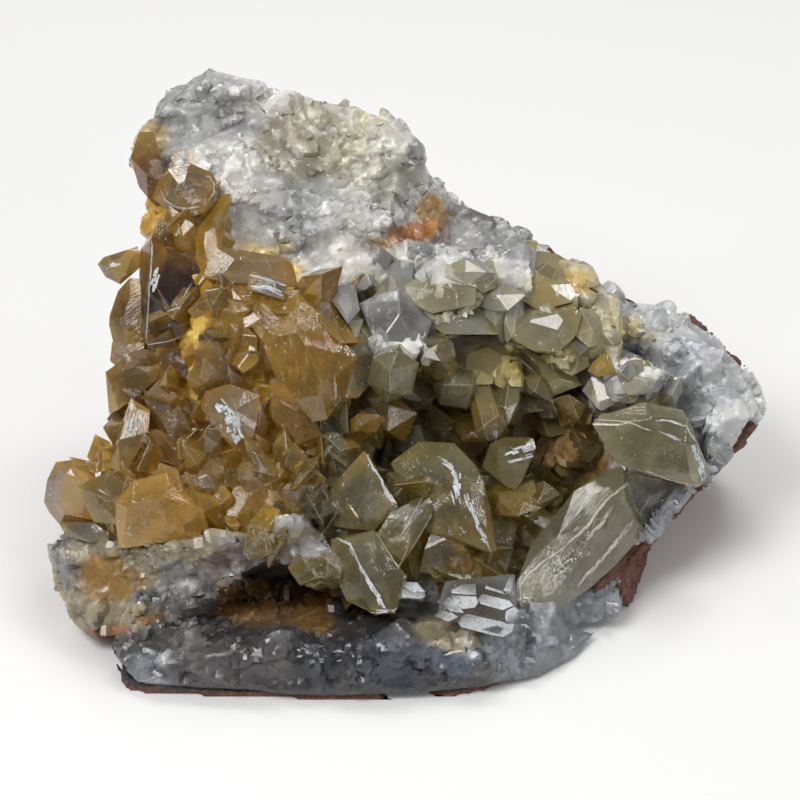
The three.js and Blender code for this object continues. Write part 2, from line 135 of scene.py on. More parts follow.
TONES = {
    "honey": daylight(220, 180, 76),
    "amber": daylight(198, 152, 56),
    "dark_amber": daylight(124, 86, 40),
    "orange": daylight(214, 162, 56),
    "yellow": daylight(224, 188, 92),
    "mustard": daylight(200, 164, 74),
    "olive": daylight(172, 158, 100),
    "dark_olive": daylight(140, 124, 68),
    "grey_green": daylight(188, 182, 148),
    "pale_green": daylight(208, 202, 168),
    "pale": daylight(206, 202, 190),
    "white": daylight(226, 223, 216),
    "grey": daylight(158, 159, 158),
    "dark_grey": daylight(72, 70, 70),
    "blue_grey": daylight(136, 140, 146),
    "brown": daylight(146, 112, 62),
    "purple": daylight(116, 98, 92),
    "rust": daylight(164, 112, 56),
    "dark_rust": daylight(132, 84, 50),
    "smoke": daylight(150, 138, 112),
    # Near black: a smoky crystal's root, and painted shade in the recess under the lip.
    "near_black_and_painted_shade": daylight(34, 24, 14),
    "ochre": daylight(150, 116, 58),
    # Deep blue: the base's own blue-grey, darkened in part as painted shade on its down-facing front.
    "deep_blue_and_painted_shade": daylight(38, 40, 48),
    "steel": daylight(74, 82, 95),
    "mid_grey": daylight(108, 106, 104),
    "frost": daylight(206, 210, 214),
}

# Large crystals by their corners: name of the root's and the tip's tone, how deep the back goes, and the
# front corners as [right, up, near]. The first corner is the tip.
HONEY_GEMS = [
    ("near_black_and_painted_shade", "dark_amber", 12, [(-47.5, 37, 4), (-50, 32, 8.5), (-39.9, 27.5, 6), (-40.9, 18, 7),
        (-41.3, 14, 6), (-46, 11, 8), (-50.6, 10.9, 10), (-52, 30, 3), (-52.5, 12, 4)]),
    ("olive", "grey", 7, [(-60.5, 27.2, 1), (-59.2, 28.6, 2), (-52.5, 30.7, 1), (-51.1, 27.2, 4),
        (-55.9, 23.1, 1), (-58.9, 24.6, 1), (-57, 26.5, 5)]),
    ("dark_amber", "olive", 9, [(-58.4, 16, 1), (-56.4, 21.8, 2), (-54, 24.5, 3), (-50.5, 24, 4),
        (-50.5, 12, 5), (-55, 10.5, 4), (-57.3, 11.2, 2), (-54, 17, 6)]),
    ("pale", "pale", 8, [(-58, 7.8, 3), (-57.6, 11.6, 3), (-51, 11.8, 5), (-51.4, 9, 6), (-56, 6, 5)]),
    ("dark_olive", "olive", 10, [(-58.2, -2.8, 7), (-58.9, 5.6, 6), (-52.8, 10, 8), (-46, 6.2, 12),
        (-47.7, 4.6, 13), (-56.2, -1.9, 10), (-53, 5, 12)]),
    ("brown", "purple", 9, [(-39.6, 7.8, 12), (-43.6, 10.2, 10), (-49.2, 10.6, 9), (-48, 5, 12),
        (-41.6, 4.2, 13), (-45, 8, 13)]),
    ("olive", "smoke", 11, [(-53.8, 0.4, 14), (-56.8, -8, 13), (-58.2, -13.4, 13), (-55, -15, 16),
        (-50.3, -6.9, 17), (-50, -2, 15), (-55.6, -7.2, 16.5)]),
    ("mustard", "amber", 9, [(-61, -6.8, 9), (-57.9, -8.4, 11), (-57.6, -14.4, 12), (-60.6, -14.4, 12),
        (-62.6, -11.3, 9), (-59.6, -10, 12.5)]),
    ("mustard", "orange", 6, [(-66.2, -11.3, 9), (-60, -12.6, 13), (-60.4, -14.8, 13), (-65, -13.2, 11)]),
    ("pale", "grey", 14, [(-71.2, -20.4, 6), (-70.6, -16, 6), (-68.8, -12.4, 6), (-65.2, -11.9, 8),
        (-61, -14.2, 10), (-60, -22, 12), (-61.2, -24.5, 10), (-68.2, -24.8, 7), (-70.2, -22.4, 6),
        (-66.5, -16, 13), (-66, -21, 14)]),
    ("olive", "mustard", 9, [(-65, -17.3, 14), (-58, -14.2, 17), (-54, -17, 17), (-56.4, -25, 18),
        (-61.2, -24.4, 16), (-60, -19, 18.5)]),
    ("pale", "mustard", 7, [(-68.4, -24.4, 10), (-61, -24.6, 15), (-57.4, -27.6, 17), (-62, -28.5, 16),
        (-66.8, -27.3, 11)]),
    ("yellow", "honey", 12, [(-56.9, -20.4, 22), (-53.2, -16.1, 22), (-46.8, -14.5, 22), (-45.6, -19, 25),
        (-39, -22.2, 23), (-39.8, -27.1, 22), (-48, -28.6, 23), (-56.8, -30, 21), (-53.4, -22, 26)]),
    ("honey", "yellow", 10, [(-48, -12.5, 20), (-44.5, -13.8, 21.5), (-42, -21, 24), (-47.5, -20, 24.5),
        (-49.5, -15.5, 21)]),
    ("honey", "mustard", 10, [(-43, -26.5, 23), (-46, -19.8, 24), (-39.2, -21.8, 23), (-38.2, -26, 22)]),
    ("grey_green", "white", 13, [(-32.4, -10.9, 22), (-37.7, -4.8, 20), (-39.9, -1.4, 16), (-38.9, 1.8, 16),
        (-34.2, 3.2, 17), (-30.9, 2.1, 18), (-28, 0.9, 18), (-28.6, -4.8, 21), (-30.2, -10.7, 21),
        (-33, -2, 22.5)]),
    ("mustard", "honey", 14, [(-20.4, 21.8, 14), (-8.3, 8.4, 12), (-11.7, 0.2, 14), (-14.6, -3.9, 15),
        (-17.5, -4.4, 16), (-26, 5.5, 17), (-27.8, 14, 15), (-20.8, 11.5, 20), (-16, 3, 19)]),
    ("grey_green", "pale_green", 10, [(-10.2, 15.9, 8), (-3.6, 10, 8), (-5.5, 4, 10), (-8.3, 0.4, 12),
        (-11.9, 0.2, 14), (-9.6, 8.4, 13)]),
    ("yellow", "mustard", 8, [(-19.5, 20.2, 12), (-13.6, 19, 10), (-8.2, 11.5, 11), (-12.2, 11.2, 14.5),
        (-17, 15.6, 15)]),
    ("mustard", "orange", 9, [(-36, 20.5, 11), (-34.8, 23.4, 11), (-30.9, 23.8, 11), (-27.2, 18.4, 14),
        (-20, 21.8, 13), (-20.6, 18.6, 15), (-26.4, 14.4, 16), (-33, 14.6, 14)]),
    # Its white tip is a painted glint on this small crystal's face.
    ("grey", "white", 6, [(-30.6, 22.2, 16), (-29.8, 25.8, 15), (-22.3, 23.3, 15), (-23.1, 20, 16),
        (-26, 23.4, 17.2)]),
    ("grey_green", "yellow", 9, [(-37.4, 30.9, 7), (-32.3, 29.9, 8), (-21.7, 28.4, 9), (-20.3, 22.5, 10),
        (-30, 23.8, 13), (-33.2, 23.4, 13), (-39.4, 24.4, 10), (-31, 26.8, 13)]),
    ("smoke", "olive", 11, [(-49.4, 40.4, -3), (-48.8, 42.6, -3), (-46.6, 46.2, -3), (-42, 47.4, -3),
        (-37.5, 45.4, -2), (-36.2, 42.8, 1), (-38, 38.6, 4), (-40.2, 36.2, 5), (-42.4, 36.5, 5),
        (-46.6, 37.9, 2), (-43.5, 42.4, 6), (-41, 39.5, 7)]),
    ("honey", "mustard", 9, [(-33.2, 41.4, 1), (-36, 41, 0), (-40.9, 33.6, 5), (-41, 28, 6), (-39, 24.2, 8),
        (-36.8, 27, 9), (-36.6, 30.8, 8), (-35.6, 34.2, 6), (-38.2, 33, 8.5)]),
    ("dark_amber", "amber", 10, [(-53.9, 48.5, -9), (-52.2, 53.6, -12), (-49.4, 54, -11), (-47.6, 47.6, -6),
        (-47, 41, -3), (-48.8, 38.4, -3), (-52.2, 42.6, -8), (-50.6, 45, -4)]),
    ("honey", "smoke", 9, [(-37.8, 19.6, 11), (-36.2, 20.6, 12), (-31.8, 17.8, 14), (-31.2, 13.6, 15),
        (-34.2, 12.6, 15), (-37.6, 14.8, 12), (-34.5, 16.6, 16)]),
    ("honey", "yellow", 10, [(-27.8, 19.8, 14), (-21.5, 20.4, 14), (-19.6, 12.8, 17), (-26.6, 10.6, 17),
        (-29.4, 14, 15)]),
    ("amber", "honey", 9, [(-39.4, 9, 11), (-36, 10.6, 12), (-33.4, 6.4, 15), (-37, 2.8, 15),
        (-40.6, 4.2, 12)]),
    ("honey", "mustard", 9, [(-33.6, 12.2, 13), (-29.6, 12.8, 15), (-28, 7.4, 17), (-31.4, 5.2, 17),
        (-34.4, 8, 14)]),
    ("mustard", "amber", 10, [(-17.5, -9.8, 14), (-15.6, -7, 14), (-20, 2.6, 16), (-25.8, 3.6, 17),
        (-26.5, -3.5, 18), (-21.5, -8.6, 18)]),
    ("brown", "amber", 9, [(-10.8, -42.2, 14), (-14.4, -33, 14), (-12.4, -31.4, 14), (-10.2, -34, 16),
        (-9.4, -41, 16)]),
    ("mustard", "orange", 9, [(-17, -27, 15), (-14.2, -24.6, 15), (-14, -38, 14), (-18, -36.8, 14)]),
    ("yellow", "honey", 10, [(-34, -17.6, 20), (-26.5, -15.4, 20), (-18.6, -18.6, 18), (-18, -24.6, 17),
        (-27, -24, 20), (-35, -24.5, 21)]),
]
CENTRE_GEMS = [
    ("grey_green", "olive", 12, [(-7.1, -9.9, 16), (-0.6, -20.6, 20), (-1.8, -22.8, 21), (-5.1, -26.4, 20),
        (-14.4, -25.1, 17), (-15.5, -20.6, 16), (-13.6, -17.2, 16), (-9.4, -13.6, 16), (-6, -19, 21)]),
    ("dark_olive", "smoke", 9, [(-17.2, -10.2, 12), (-11, -9.4, 13), (-9.6, -13.6, 15.5), (-14, -17.6, 15.5),
        (-16.9, -15.6, 13)]),
    ("grey_green", "olive", 13, [(-4.8, -43, 27), (-13.8, -27.8, 20), (-10.8, -27.8, 24), (-5.2, -26, 22),
        (-2.4, -30.1, 23), (-0.4, -34, 23.5), (1.4, -35.4, 23), (-0.4, -40.6, 26), (-0.9, -42.7, 26.5),
        (-10.7, -40.1, 24), (-13.9, -33.2, 21), (-4.3, -39.2, 29.5), (-3.2, -42.2, 28.4)]),
    ("grey_green", "mustard", 12, [(-0.4, -34.1, 24), (-4.8, -26.8, 22.5), (-1.8, -22.4, 21.5),
        (4.4, -19.2, 17), (7.5, -19.2, 16), (6.3, -23.4, 19), (2.8, -29.4, 22.5), (1.6, -25.4, 23)]),
    ("grey_green", "orange", 12, [(17.8, -31.2, 24), (-2, -12.6, 12), (3.8, -8.3, 11), (10.8, -8.6, 11),
        (16.4, -14.4, 14), (18.1, -21.7, 16), (19.4, -30.2, 21), (13.4, -30, 22), (5.2, -26.4, 18),
        (4.2, -19.6, 17), (7.8, -11.9, 16.5), (11.7, -21.2, 22)]),
    ("smoke", "orange", 9, [(13.1, -35.4, 19), (6.4, -30.2, 16), (13.4, -29.8, 18), (14.7, -32.9, 18),
        (9.2, -34.2, 18), (11, -32, 20)]),
    ("olive", "grey_green", 10, [(24.4, -16.3, 13), (18, -8.8, 9), (20.8, -7.5, 9), (26.6, -7.5, 9),
        (27.2, -9.7, 10), (23, -18.2, 14), (19.1, -16.3, 12), (16.5, -13.2, 10), (22.5, -11.5, 15)]),
    ("yellow", "honey", 9, [(28.3, -21.5, 12), (16, -17, 8), (23, -17.6, 12), (26.7, -15.9, 9),
        (23.4, -23.3, 13), (18.2, -23, 10), (20.5, -19, 14)]),
    ("dark_olive", "olive", 9, [(20.8, -36.6, 14), (19.1, -22.6, 9), (23.6, -24.4, 9), (14.4, -35.2, 14),
        (15.4, -28, 12)]),
    ("smoke", "grey_green", 9, [(4.6, -30.6, 18), (6.6, -25.4, 17), (13.6, -29.6, 19), (6.4, -34.8, 17),
        (3.2, -34.2, 17)]),
]
PRISM_GEMS = [
    ("grey_green", "olive", 13, [(38.3, -4.8, 7), (40.2, -2.6, 6), (49.8, -5.1, 10.5), (50.2, -3.2, 9),
        (57.6, -3.4, 6), (59.5, -8.8, 7), (62.2, -15, 3), (59.8, -17.6, 4), (50.2, -15.2, 8),
        (43.2, -12.6, 8), (57, -9, 10), (57.8, -14.8, 9)]),
    ("pale_green", "yellow", 9, [(40, -2.8, 5), (49, -0.5, 3), (56.6, -2, 2), (58, -5, 3), (50, -5.2, 8)]),
]
BLADE_GEMS = [
    ("pale_green", "pale", 11, [(25.4, -43.6, 16), (44.7, -13, 3), (46.2, -19.4, 5), (47.8, -25, 4.5),
        (49.1, -26.6, 2.5), (42.5, -33.6, 8), (38, -37.6, 11), (30.7, -42.4, 14), (23.3, -40.4, 17),
        (23.2, -37.1, 17.5), (26.1, -29.2, 13), (34.9, -18.2, 7), (39.9, -14.8, 3), (30, -31.6, 19),
        (37.4, -26.2, 15), (45, -19.6, 7.5)]),
    ("grey", "pale_green", 9, [(59.2, -17.8, -2), (45.2, -14, 2), (55, -16.4, 1), (52.8, -21, 0),
        (48.7, -26.2, 1), (46.3, -21, 4)]),
]
PLATE_GEMS = [
    ("smoke", "grey", 7, [(22.9, -34.8, 25), (9, -36.2, 26), (16.4, -37.3, 26.6), (21.8, -38.8, 26.5),
        (23.4, -42.5, 27), (20.1, -47, 28), (7.1, -43.4, 27.8), (8.3, -40.6, 27)]),
    ("smoke", "grey", 6, [(5.3, -39.4, 25), (0.6, -35.8, 24.5), (2.6, -36.2, 24.6), (4.8, -40, 25.4),
        (-0.3, -39.7, 25.6)]),
]
LEDGE_GEMS = [
    ("mid_grey", "grey", 12, [(0.7, 5.1, 12.5), (-8.3, 19.4, 6), (-7.4, 17.4, 7.5), (-3.8, 10, 10.5),
        (-3.3, 7.6, 11), (4.7, 10.3, 9.5), (6.4, 15.7, 7), (4, 21, 4), (-0.4, 23, 5), (-0.3, 20, 9.5),
        (0.3, 11, 13)]),
    ("grey", "white", 9, [(-10.4, 15.2, 12), (-13.6, 19.8, 10), (-12.8, 23, 8), (-9, 23.2, 7), (-8, 18, 10),
        (-11, 19.6, 12.5)]),
    ("grey_green", "pale_green", 7, [(-8.8, 11.6, 10), (-10.4, 15.9, 9), (-7.2, 16.2, 8)]),
    ("smoke", "grey_green", 10, [(6.3, 17.2, 8), (0.1, 23, 5), (8.8, 26.6, 4), (15.4, 22.4, 6),
        (15.2, 19.1, 6), (11, 18.3, 8), (2.1, 19.4, 6.5), (9, 22, 9)]),
    # Its pale and white top is a painted glint on the block's top face.
    ("pale", "white", 6, [(9.1, 24.7, 7), (8.7, 27.4, 4.5), (17.3, 26.5, 3.5), (15.9, 22.2, 6.5),
        (12.6, 25, 7.6)]),
    ("white", "pale", 8, [(23, 21.8, 3), (24.3, 32.2, -5), (27.6, 31.7, -6), (26.4, 21.4, 2.5), (25, 26, 1.5)]),
    ("grey_green", "yellow", 11, [(27.4, 17.9, 3), (21.2, 21.8, 2), (24, 30, -5), (30.9, 29.6, -9),
        (36.3, 26, -9), (37.6, 23.3, -5), (34.6, 19.6, 0), (29, 23, 2.5)]),
    ("smoke", "grey_green", 11, [(26.6, 9.8, 5), (19.8, 15.9, 2), (23.5, 18.3, 1), (34.6, 19.6, -1),
        (36.2, 17, 1), (35.4, 13.1, 3.5), (31.8, 9.6, 4.5), (21.2, 13.1, 3.5), (28, 14.5, 7)]),
    ("smoke", "olive", 10, [(37.8, 10.5, 3), (35.9, 18.7, -2), (41.5, 17, -5), (41, 11.4, 0), (34.8, 13, 2.5),
        (38.4, 14, 3)]),
    ("grey", "grey_green", 9, [(8.3, 13.1, 6.5), (6, 17.8, 4), (14.8, 18.4, 2), (20.2, 15.9, 2),
        (19.8, 13.1, 4), (6, 15, 6), (13, 15.4, 6.5)]),
    # A small crystal all in white: a painted glint.
    ("white", "white", 4, [(8.3, 7.7, 11.5), (6.3, 10.7, 10.5), (4.4, 8.7, 11.5)]),
    ("dark_olive", "olive", 12, [(20.4, 1.2, -2), (7.7, 12.2, -6), (19.2, 13.1, -4), (22.8, 7.7, -2),
        (26.8, 2, -3), (10.3, 5.3, -3), (16, 8, -0.5)]),
    ("dark_olive", "olive", 10, [(30, 0.5, -5), (22.4, 11.5, -5), (32.6, 9.4, -6), (36.4, 3, -5),
        (27.4, 5.4, -2.5)]),
    ("smoke", "olive", 7, [(34.4, 4.8, 1), (30.2, 10.5, -2), (37.2, 10, -2), (38, 6.8, -0.5),
        (30.7, 6.6, -0.5), (34, 8, 2)]),
    ("pale", "pale_green", 7, [(45, 0.8, 4), (43.7, 5.4, 2.5), (46.5, 6.8, -0.5), (53, 4.4, -1),
        (51.5, 1.3, 2), (48.5, 3.8, 4)]),
    ("olive", "mustard", 8, [(40.2, -2.4, 1), (38.2, 4.6, -1), (43.8, 5, 0.5), (45.2, 0.6, 2),
        (36.4, 1.9, -2)]),
    ("yellow", "mustard", 7, [(39.5, 4.6, 3), (38.6, 7.6, 1), (41.7, 10.2, -1), (43.4, 5.2, 2),
        (37.5, 5.9, 1.5), (40.6, 7.2, 4)]),
]
# White streaks on the large crystals, partly frosted steps and broken edges, partly painted glints along their
# ridges: a tone, and [right, up, half width] along each.
STREAKS = [
    ("frost", (-6.7, -11.1, 0.1), (-5.5, -13.2, 0.22), (-3.9, -15.9, 0.15), (-2.7, -18.4, 0.35),
        (-1.7, -20.1, 0.5), (-0.7, -21.1, 0.25), (-2, -22.8, 0.08)),
    ("frost", (7.9, -11.8, 0.2), (9.8, -12.9, 0.5), (11.1, -15, 0.5), (11, -17.5, 1.1), (11.7, -20.4, 0.4)),
    ("frost", (13.2, -19.2, 0.25), (14.2, -21.8, 0.45), (15.2, -24.3, 0.45), (16.2, -26.4, 0.45),
        (17.3, -28.5, 0.2), (18.2, -30.4, 0.05)),
    ("frost", (-12.4, -27.7, 0.12), (-10.2, -28.8, 0.3), (-8.7, -31.9, 0.12), (-7, -35.1, 0.3),
        (-5.6, -37.5, 0.4), (-4.1, -39.9, 0.5), (-3.4, -41.6, 0.25)),
    ("frost", (-5.3, -42.4, 0.15), (-3.4, -42.2, 0.3), (-1.4, -42.1, 0.3), (-0.9, -41.6, 0.12)),
    ("pale", (0.1, -27.2, 0.07), (2, -24, 0.08), (4.5, -19.4, 0.06)),
    ("pale", (2.8, -29.1, 0.06), (6.2, -23.2, 0.07)),
    ("pale", (-4.8, -26.5, 0.07), (-0.3, -33.6, 0.08), (1.3, -30.2, 0.06)),
    ("frost", (21.3, -10.8, 0.3), (24, -9.8, 0.5), (26.4, -9, 0.35)),
    ("frost", (21.8, -12.3, 0.2), (26.2, -11.1, 0.4)),
    ("pale", (39, -3.9, 0.08), (45.6, -4.4, 0.12), (49.9, -6.1, 0.1)),
    ("frost", (51.3, -4, 0.12), (53.9, -4.2, 0.2), (57.2, -5.2, 0.15), (59, -8, 0.2)),
    ("frost", (52.3, -6.6, 0.12), (55.9, -7.9, 0.22)),
    ("frost", (58.9, -9, 0.4), (59.9, -12.5, 0.7), (60.8, -15.5, 0.5)),
    ("pale", (49.6, -14.3, 0.08), (53.9, -16, 0.15), (57.9, -17, 0.12), (60, -16.9, 0.1)),
    ("orange", (55.9, -16.9, 0.12), (57.3, -17, 0.3), (58.2, -17, 0.1)),
    ("pale", (45.4, -16.8, 0.12), (41, -20.4, 0.3), (37.3, -25.4, 0.25), (33.5, -28.6, 0.1)),
    ("pale", (33, -29.4, 0.08), (28.6, -32.4, 0.16), (25, -35.4, 0.14)),
    ("pale", (42.4, -21.6, 0.1), (39.8, -25.2, 0.4), (37.6, -27.6, 0.12)),
    ("pale", (46.6, -24, 0.1), (42.6, -29.4, 0.4), (38.6, -33.6, 0.4), (35.6, -37, 0.12)),
    ("pale", (28, -32.7, 0.12), (25.8, -34.4, 0.2), (23.9, -37.2, 0.16), (24.3, -41, 0.14)),
    ("frost", (-49.4, 21.9, 0.5), (-48.9, 24, 0.7), (-48.4, 26, 0.4)),
    ("frost", (-43.3, 20.7, 0.12), (-41.9, 22.9, 0.14)),
    ("frost", (-46.2, 17.8, 0.2), (-44.1, 18.7, 0.22)),
    ("pale", (-49.7, 32, 0.1), (-49.6, 29.6, 0.18), (-50.2, 21.4, 0.1), (-50.8, 11.6, 0.12)),
    ("pale", (-50.3, 11.1, 0.1), (-46.5, 11.7, 0.1), (-43.5, 12.6, 0.06)),
    ("frost", (-58.4, 26.2, 0.3), (-57.2, 27, 0.5), (-56, 27.2, 0.2)),
    ("frost", (-36.4, -0.4, 0.4), (-34.5, -2.6, 1.3), (-33.4, -5.4, 1.3), (-32.4, -8.4, 0.5)),
    ("pale", (-47, 45, 0.06), (-45.8, 46, 0.12), (-44.2, 46.6, 0.16), (-42.4, 46.7, 0.1)),
    ("pale", (-38.2, 44.6, 0.08), (-37.2, 43.2, 0.14), (-37.2, 41.4, 0.12), (-38.2, 39.8, 0.08)),
    ("pale", (-40.4, 38.6, 0.08), (-42.7, 38.2, 0.16), (-45, 38.6, 0.18), (-46.8, 39.8, 0.12),
        (-47.8, 41.6, 0.06)),
    ("frost", (-29.8, 25, 0.15), (-26, 24, 0.2), (-23, 22.8, 0.15)),
    ("frost", (-29.6, 22.6, 0.3), (-26, 22.4, 0.5), (-23.4, 21.2, 0.3)),
]
# The plate's terraces, white as painted reflections off its growth steps: corners as [right, up].
TERRACES = [
    [(11.6, -44.6), (12.4, -43.2), (13.6, -42.8), (17.6, -43.8), (21.1, -44.9), (22.9, -44.9), (22.4, -46.4),
        (20.6, -47.4), (17.9, -46.9), (12.2, -45.4)],
    [(21.3, -44.6), (23.4, -44), (23.6, -42), (22.9, -41.3), (21.2, -42.2), (21, -43.6)],
    [(15.6, -39.9), (16.4, -38.8), (21.8, -40.1), (22.7, -41.1), (20.6, -42), (16.2, -40.8)],
    [(10.4, -37.9), (12.6, -36.9), (15.1, -36.7), (15.3, -39), (12.8, -38.9), (10.2, -38.6)],
    [(10.2, -39), (15.2, -39.3), (15.7, -40.4), (15, -41.5), (12.6, -41.8), (11, -40.6)],
    [(8.3, -40.7), (9.9, -39.3), (12.2, -41.6), (12.8, -42.6), (10.2, -42.3)],
    [(6.8, -43.2), (8.2, -42.1), (10.4, -42.6), (11.6, -43.4), (9.7, -44.3)],
    [(21.9, -35.2), (22.8, -35.4), (22.2, -38.4), (20.7, -38.2)],
    [(17.2, -37.1), (20.6, -38.3), (20.8, -38.8), (17, -37.7)],
    [(0.6, -37.3), (1.3, -36.4), (3.4, -36.5), (5, -38.3), (2.7, -38.5)],
    [(0.4, -37.6), (2.6, -38.7), (5, -38.5), (5, -39.4), (4.2, -39.7), (0.4, -39.5)],
]
# Free crystals that fill in round the large ones: the area's middle and half size as [right, up],
# the mean way that they point, how many, their length and width in millimetres, and their tones.
FILLS = {
    "honey": [
        ([-44, 6], [12, 28], [-0.4, 0.3, 1], 90, (8, 13),
        (5, 10), ["olive", "amber", "mustard", "smoke", "yellow", "brown"]),
        ([-27, 7], [15, 14], [-0.1, 0.1, 1], 80, (8, 13),
        (5, 10), ["honey", "mustard", "yellow", "olive", "pale"]),
        ([-38, -18], [18, 8], [-0.1, 0.7, 1], 80, (8, 14),
        (4, 9), ["honey", "yellow", "mustard", "pale", "olive"]),
        ([-21, -12], [10, 13], [0.1, -0.1, 1], 40, (8, 13),
        (5, 9), ["honey", "mustard", "olive", "amber", "yellow"]),
        ([-57, -22], [9, 9], [-0.3, 0.3, 1], 30, (7, 11), (5, 9), ["honey", "mustard", "olive", "pale"]),
    ],
    "centre": [
        ([-6, -20], [13, 14], [0, 0.1, 1], 50, (8, 14),
        (5, 10), ["grey_green", "olive", "dark_olive", "smoke"]),
        ([12, -24], [14, 12], [0.1, -0.1, 1], 50, (8, 14),
        (5, 10), ["olive", "dark_olive", "mustard", "smoke"]),
    ],
    "pocket": [
        ([6, -3], [22, 11], [0, -0.2, 1], 50, (8, 15), (6, 12), ["olive", "grey_green", "smoke", "yellow"]),
        ([26, -8], [14, 11], [-0.2, 0, 1], 34, (7, 13), (5, 10), ["brown", "olive", "amber", "mustard"]),
        ([-8, -5], [9, 9], [0.2, 0, 1], 18, (7, 12), (5, 9), ["mustard", "olive", "grey_green"]),
    ],
    "ledge": [
        ([6, 20], [17, 7], [0, -0.5, 1], 18, (7, 11), (5, 9), ["grey", "smoke", "grey_green", "pale"]),
        ([29, 18], [12, 7], [0.1, -0.4, 1], 16, (7, 11), (5, 9), ["grey", "grey_green", "smoke", "olive"]),
        ([44, 4], [10, 6], [-0.2, -0.1, 1], 12, (5, 9), (4, 7), ["grey", "grey_green", "olive", "pale"]),
    ],
}

# Hulls: the angle up to which faces count as one, the bevel in millimetres, which edges get one, the widest
# strip that counts as an edge (whitened as wear and as a painted highlight), how a large crystal narrows
# towards its back, the share of its front that no stain has reached, and how much of its size a broken corner takes.
SHARP = math.radians(2)
BEVEL = 0.16
SHORTEST_BEVELLED = 0.0005
FLATTEST_BEVELLED = 0.4
STRIP = 0.3
HULL_BACK = 0.72
CLEAR_SHARE = 0.8
BROKEN_OFF = (0.02, 0.09)
BOOLEAN_SOLVER = "MANIFOLD"


def hull_mesh(points):
    """A bmesh of the convex hull of some points, its flat sides whole."""
    bm = bmesh.new()
    for point in points:
        bm.verts.new(point)
    bmesh.ops.convex_hull(bm, input=bm.verts)
    loose = [vert for vert in bm.verts if not vert.link_faces]
    bmesh.ops.delete(bm, geom=loose, context="VERTS")
    bmesh.ops.dissolve_limit(bm, angle_limit=SHARP, verts=bm.verts, edges=bm.edges)
    return bm


def drawn_in(corners, share, depth):
    """Corners of the view, drawn in towards their middle and all as deep behind it."""
    right, up, near = np.mean(corners, axis=0)
    return [(right + (corner[0] - right) * share, up + (corner[1] - up) * share, near - depth) for corner in corners]


def cut_off(bm, plane, way):
    """The hull without what lies beyond a plane."""
    whole = bm.verts[:] + bm.edges[:] + bm.faces[:]
    bmesh.ops.bisect_plane(bm, geom=whole, plane_co=plane, plane_no=way, clear_outer=True)
    points = [vert.co.copy() for vert in bm.verts]
    bm.free()
    return hull_mesh(points)


def chopped(bm, draws, chops, middle, size):
    """The hull with a few of its corners and edges broken off by planes."""
    for _ in range(chops):
        way = Vector(draws.normal(size=3)).normalized()
        reach = max((vert.co - middle).dot(way) for vert in bm.verts)
        bm = cut_off(bm, middle + way * (reach - size * draws.uniform(*BROKEN_OFF)), way)
    return bm


# A small crystal is left out when more of its corners than this share stand in front of large ones, by so
# many millimetres at least. Small ones are rooted so deep, and point this far off their area's mean way.
MOST_HIDING = 0.2
IN_FRONT = 0.5
ROOT_DEPTH = 3
SPLAY = 0.5
# How far the flat top of a large crystal tilts from facing the view.
TOP_TILT = 0.12


def hiding_share(tree, points):
    """What share of the points stands in front of the tree's faces in the view."""
    hiding = 0
    for point in points:
        hit = tree.ray_cast(EYE, (point - EYE).normalized())[0]
        hiding += hit is not None and (hit - EYE).length > (point - EYE).length + IN_FRONT * MM
    return hiding / len(points)


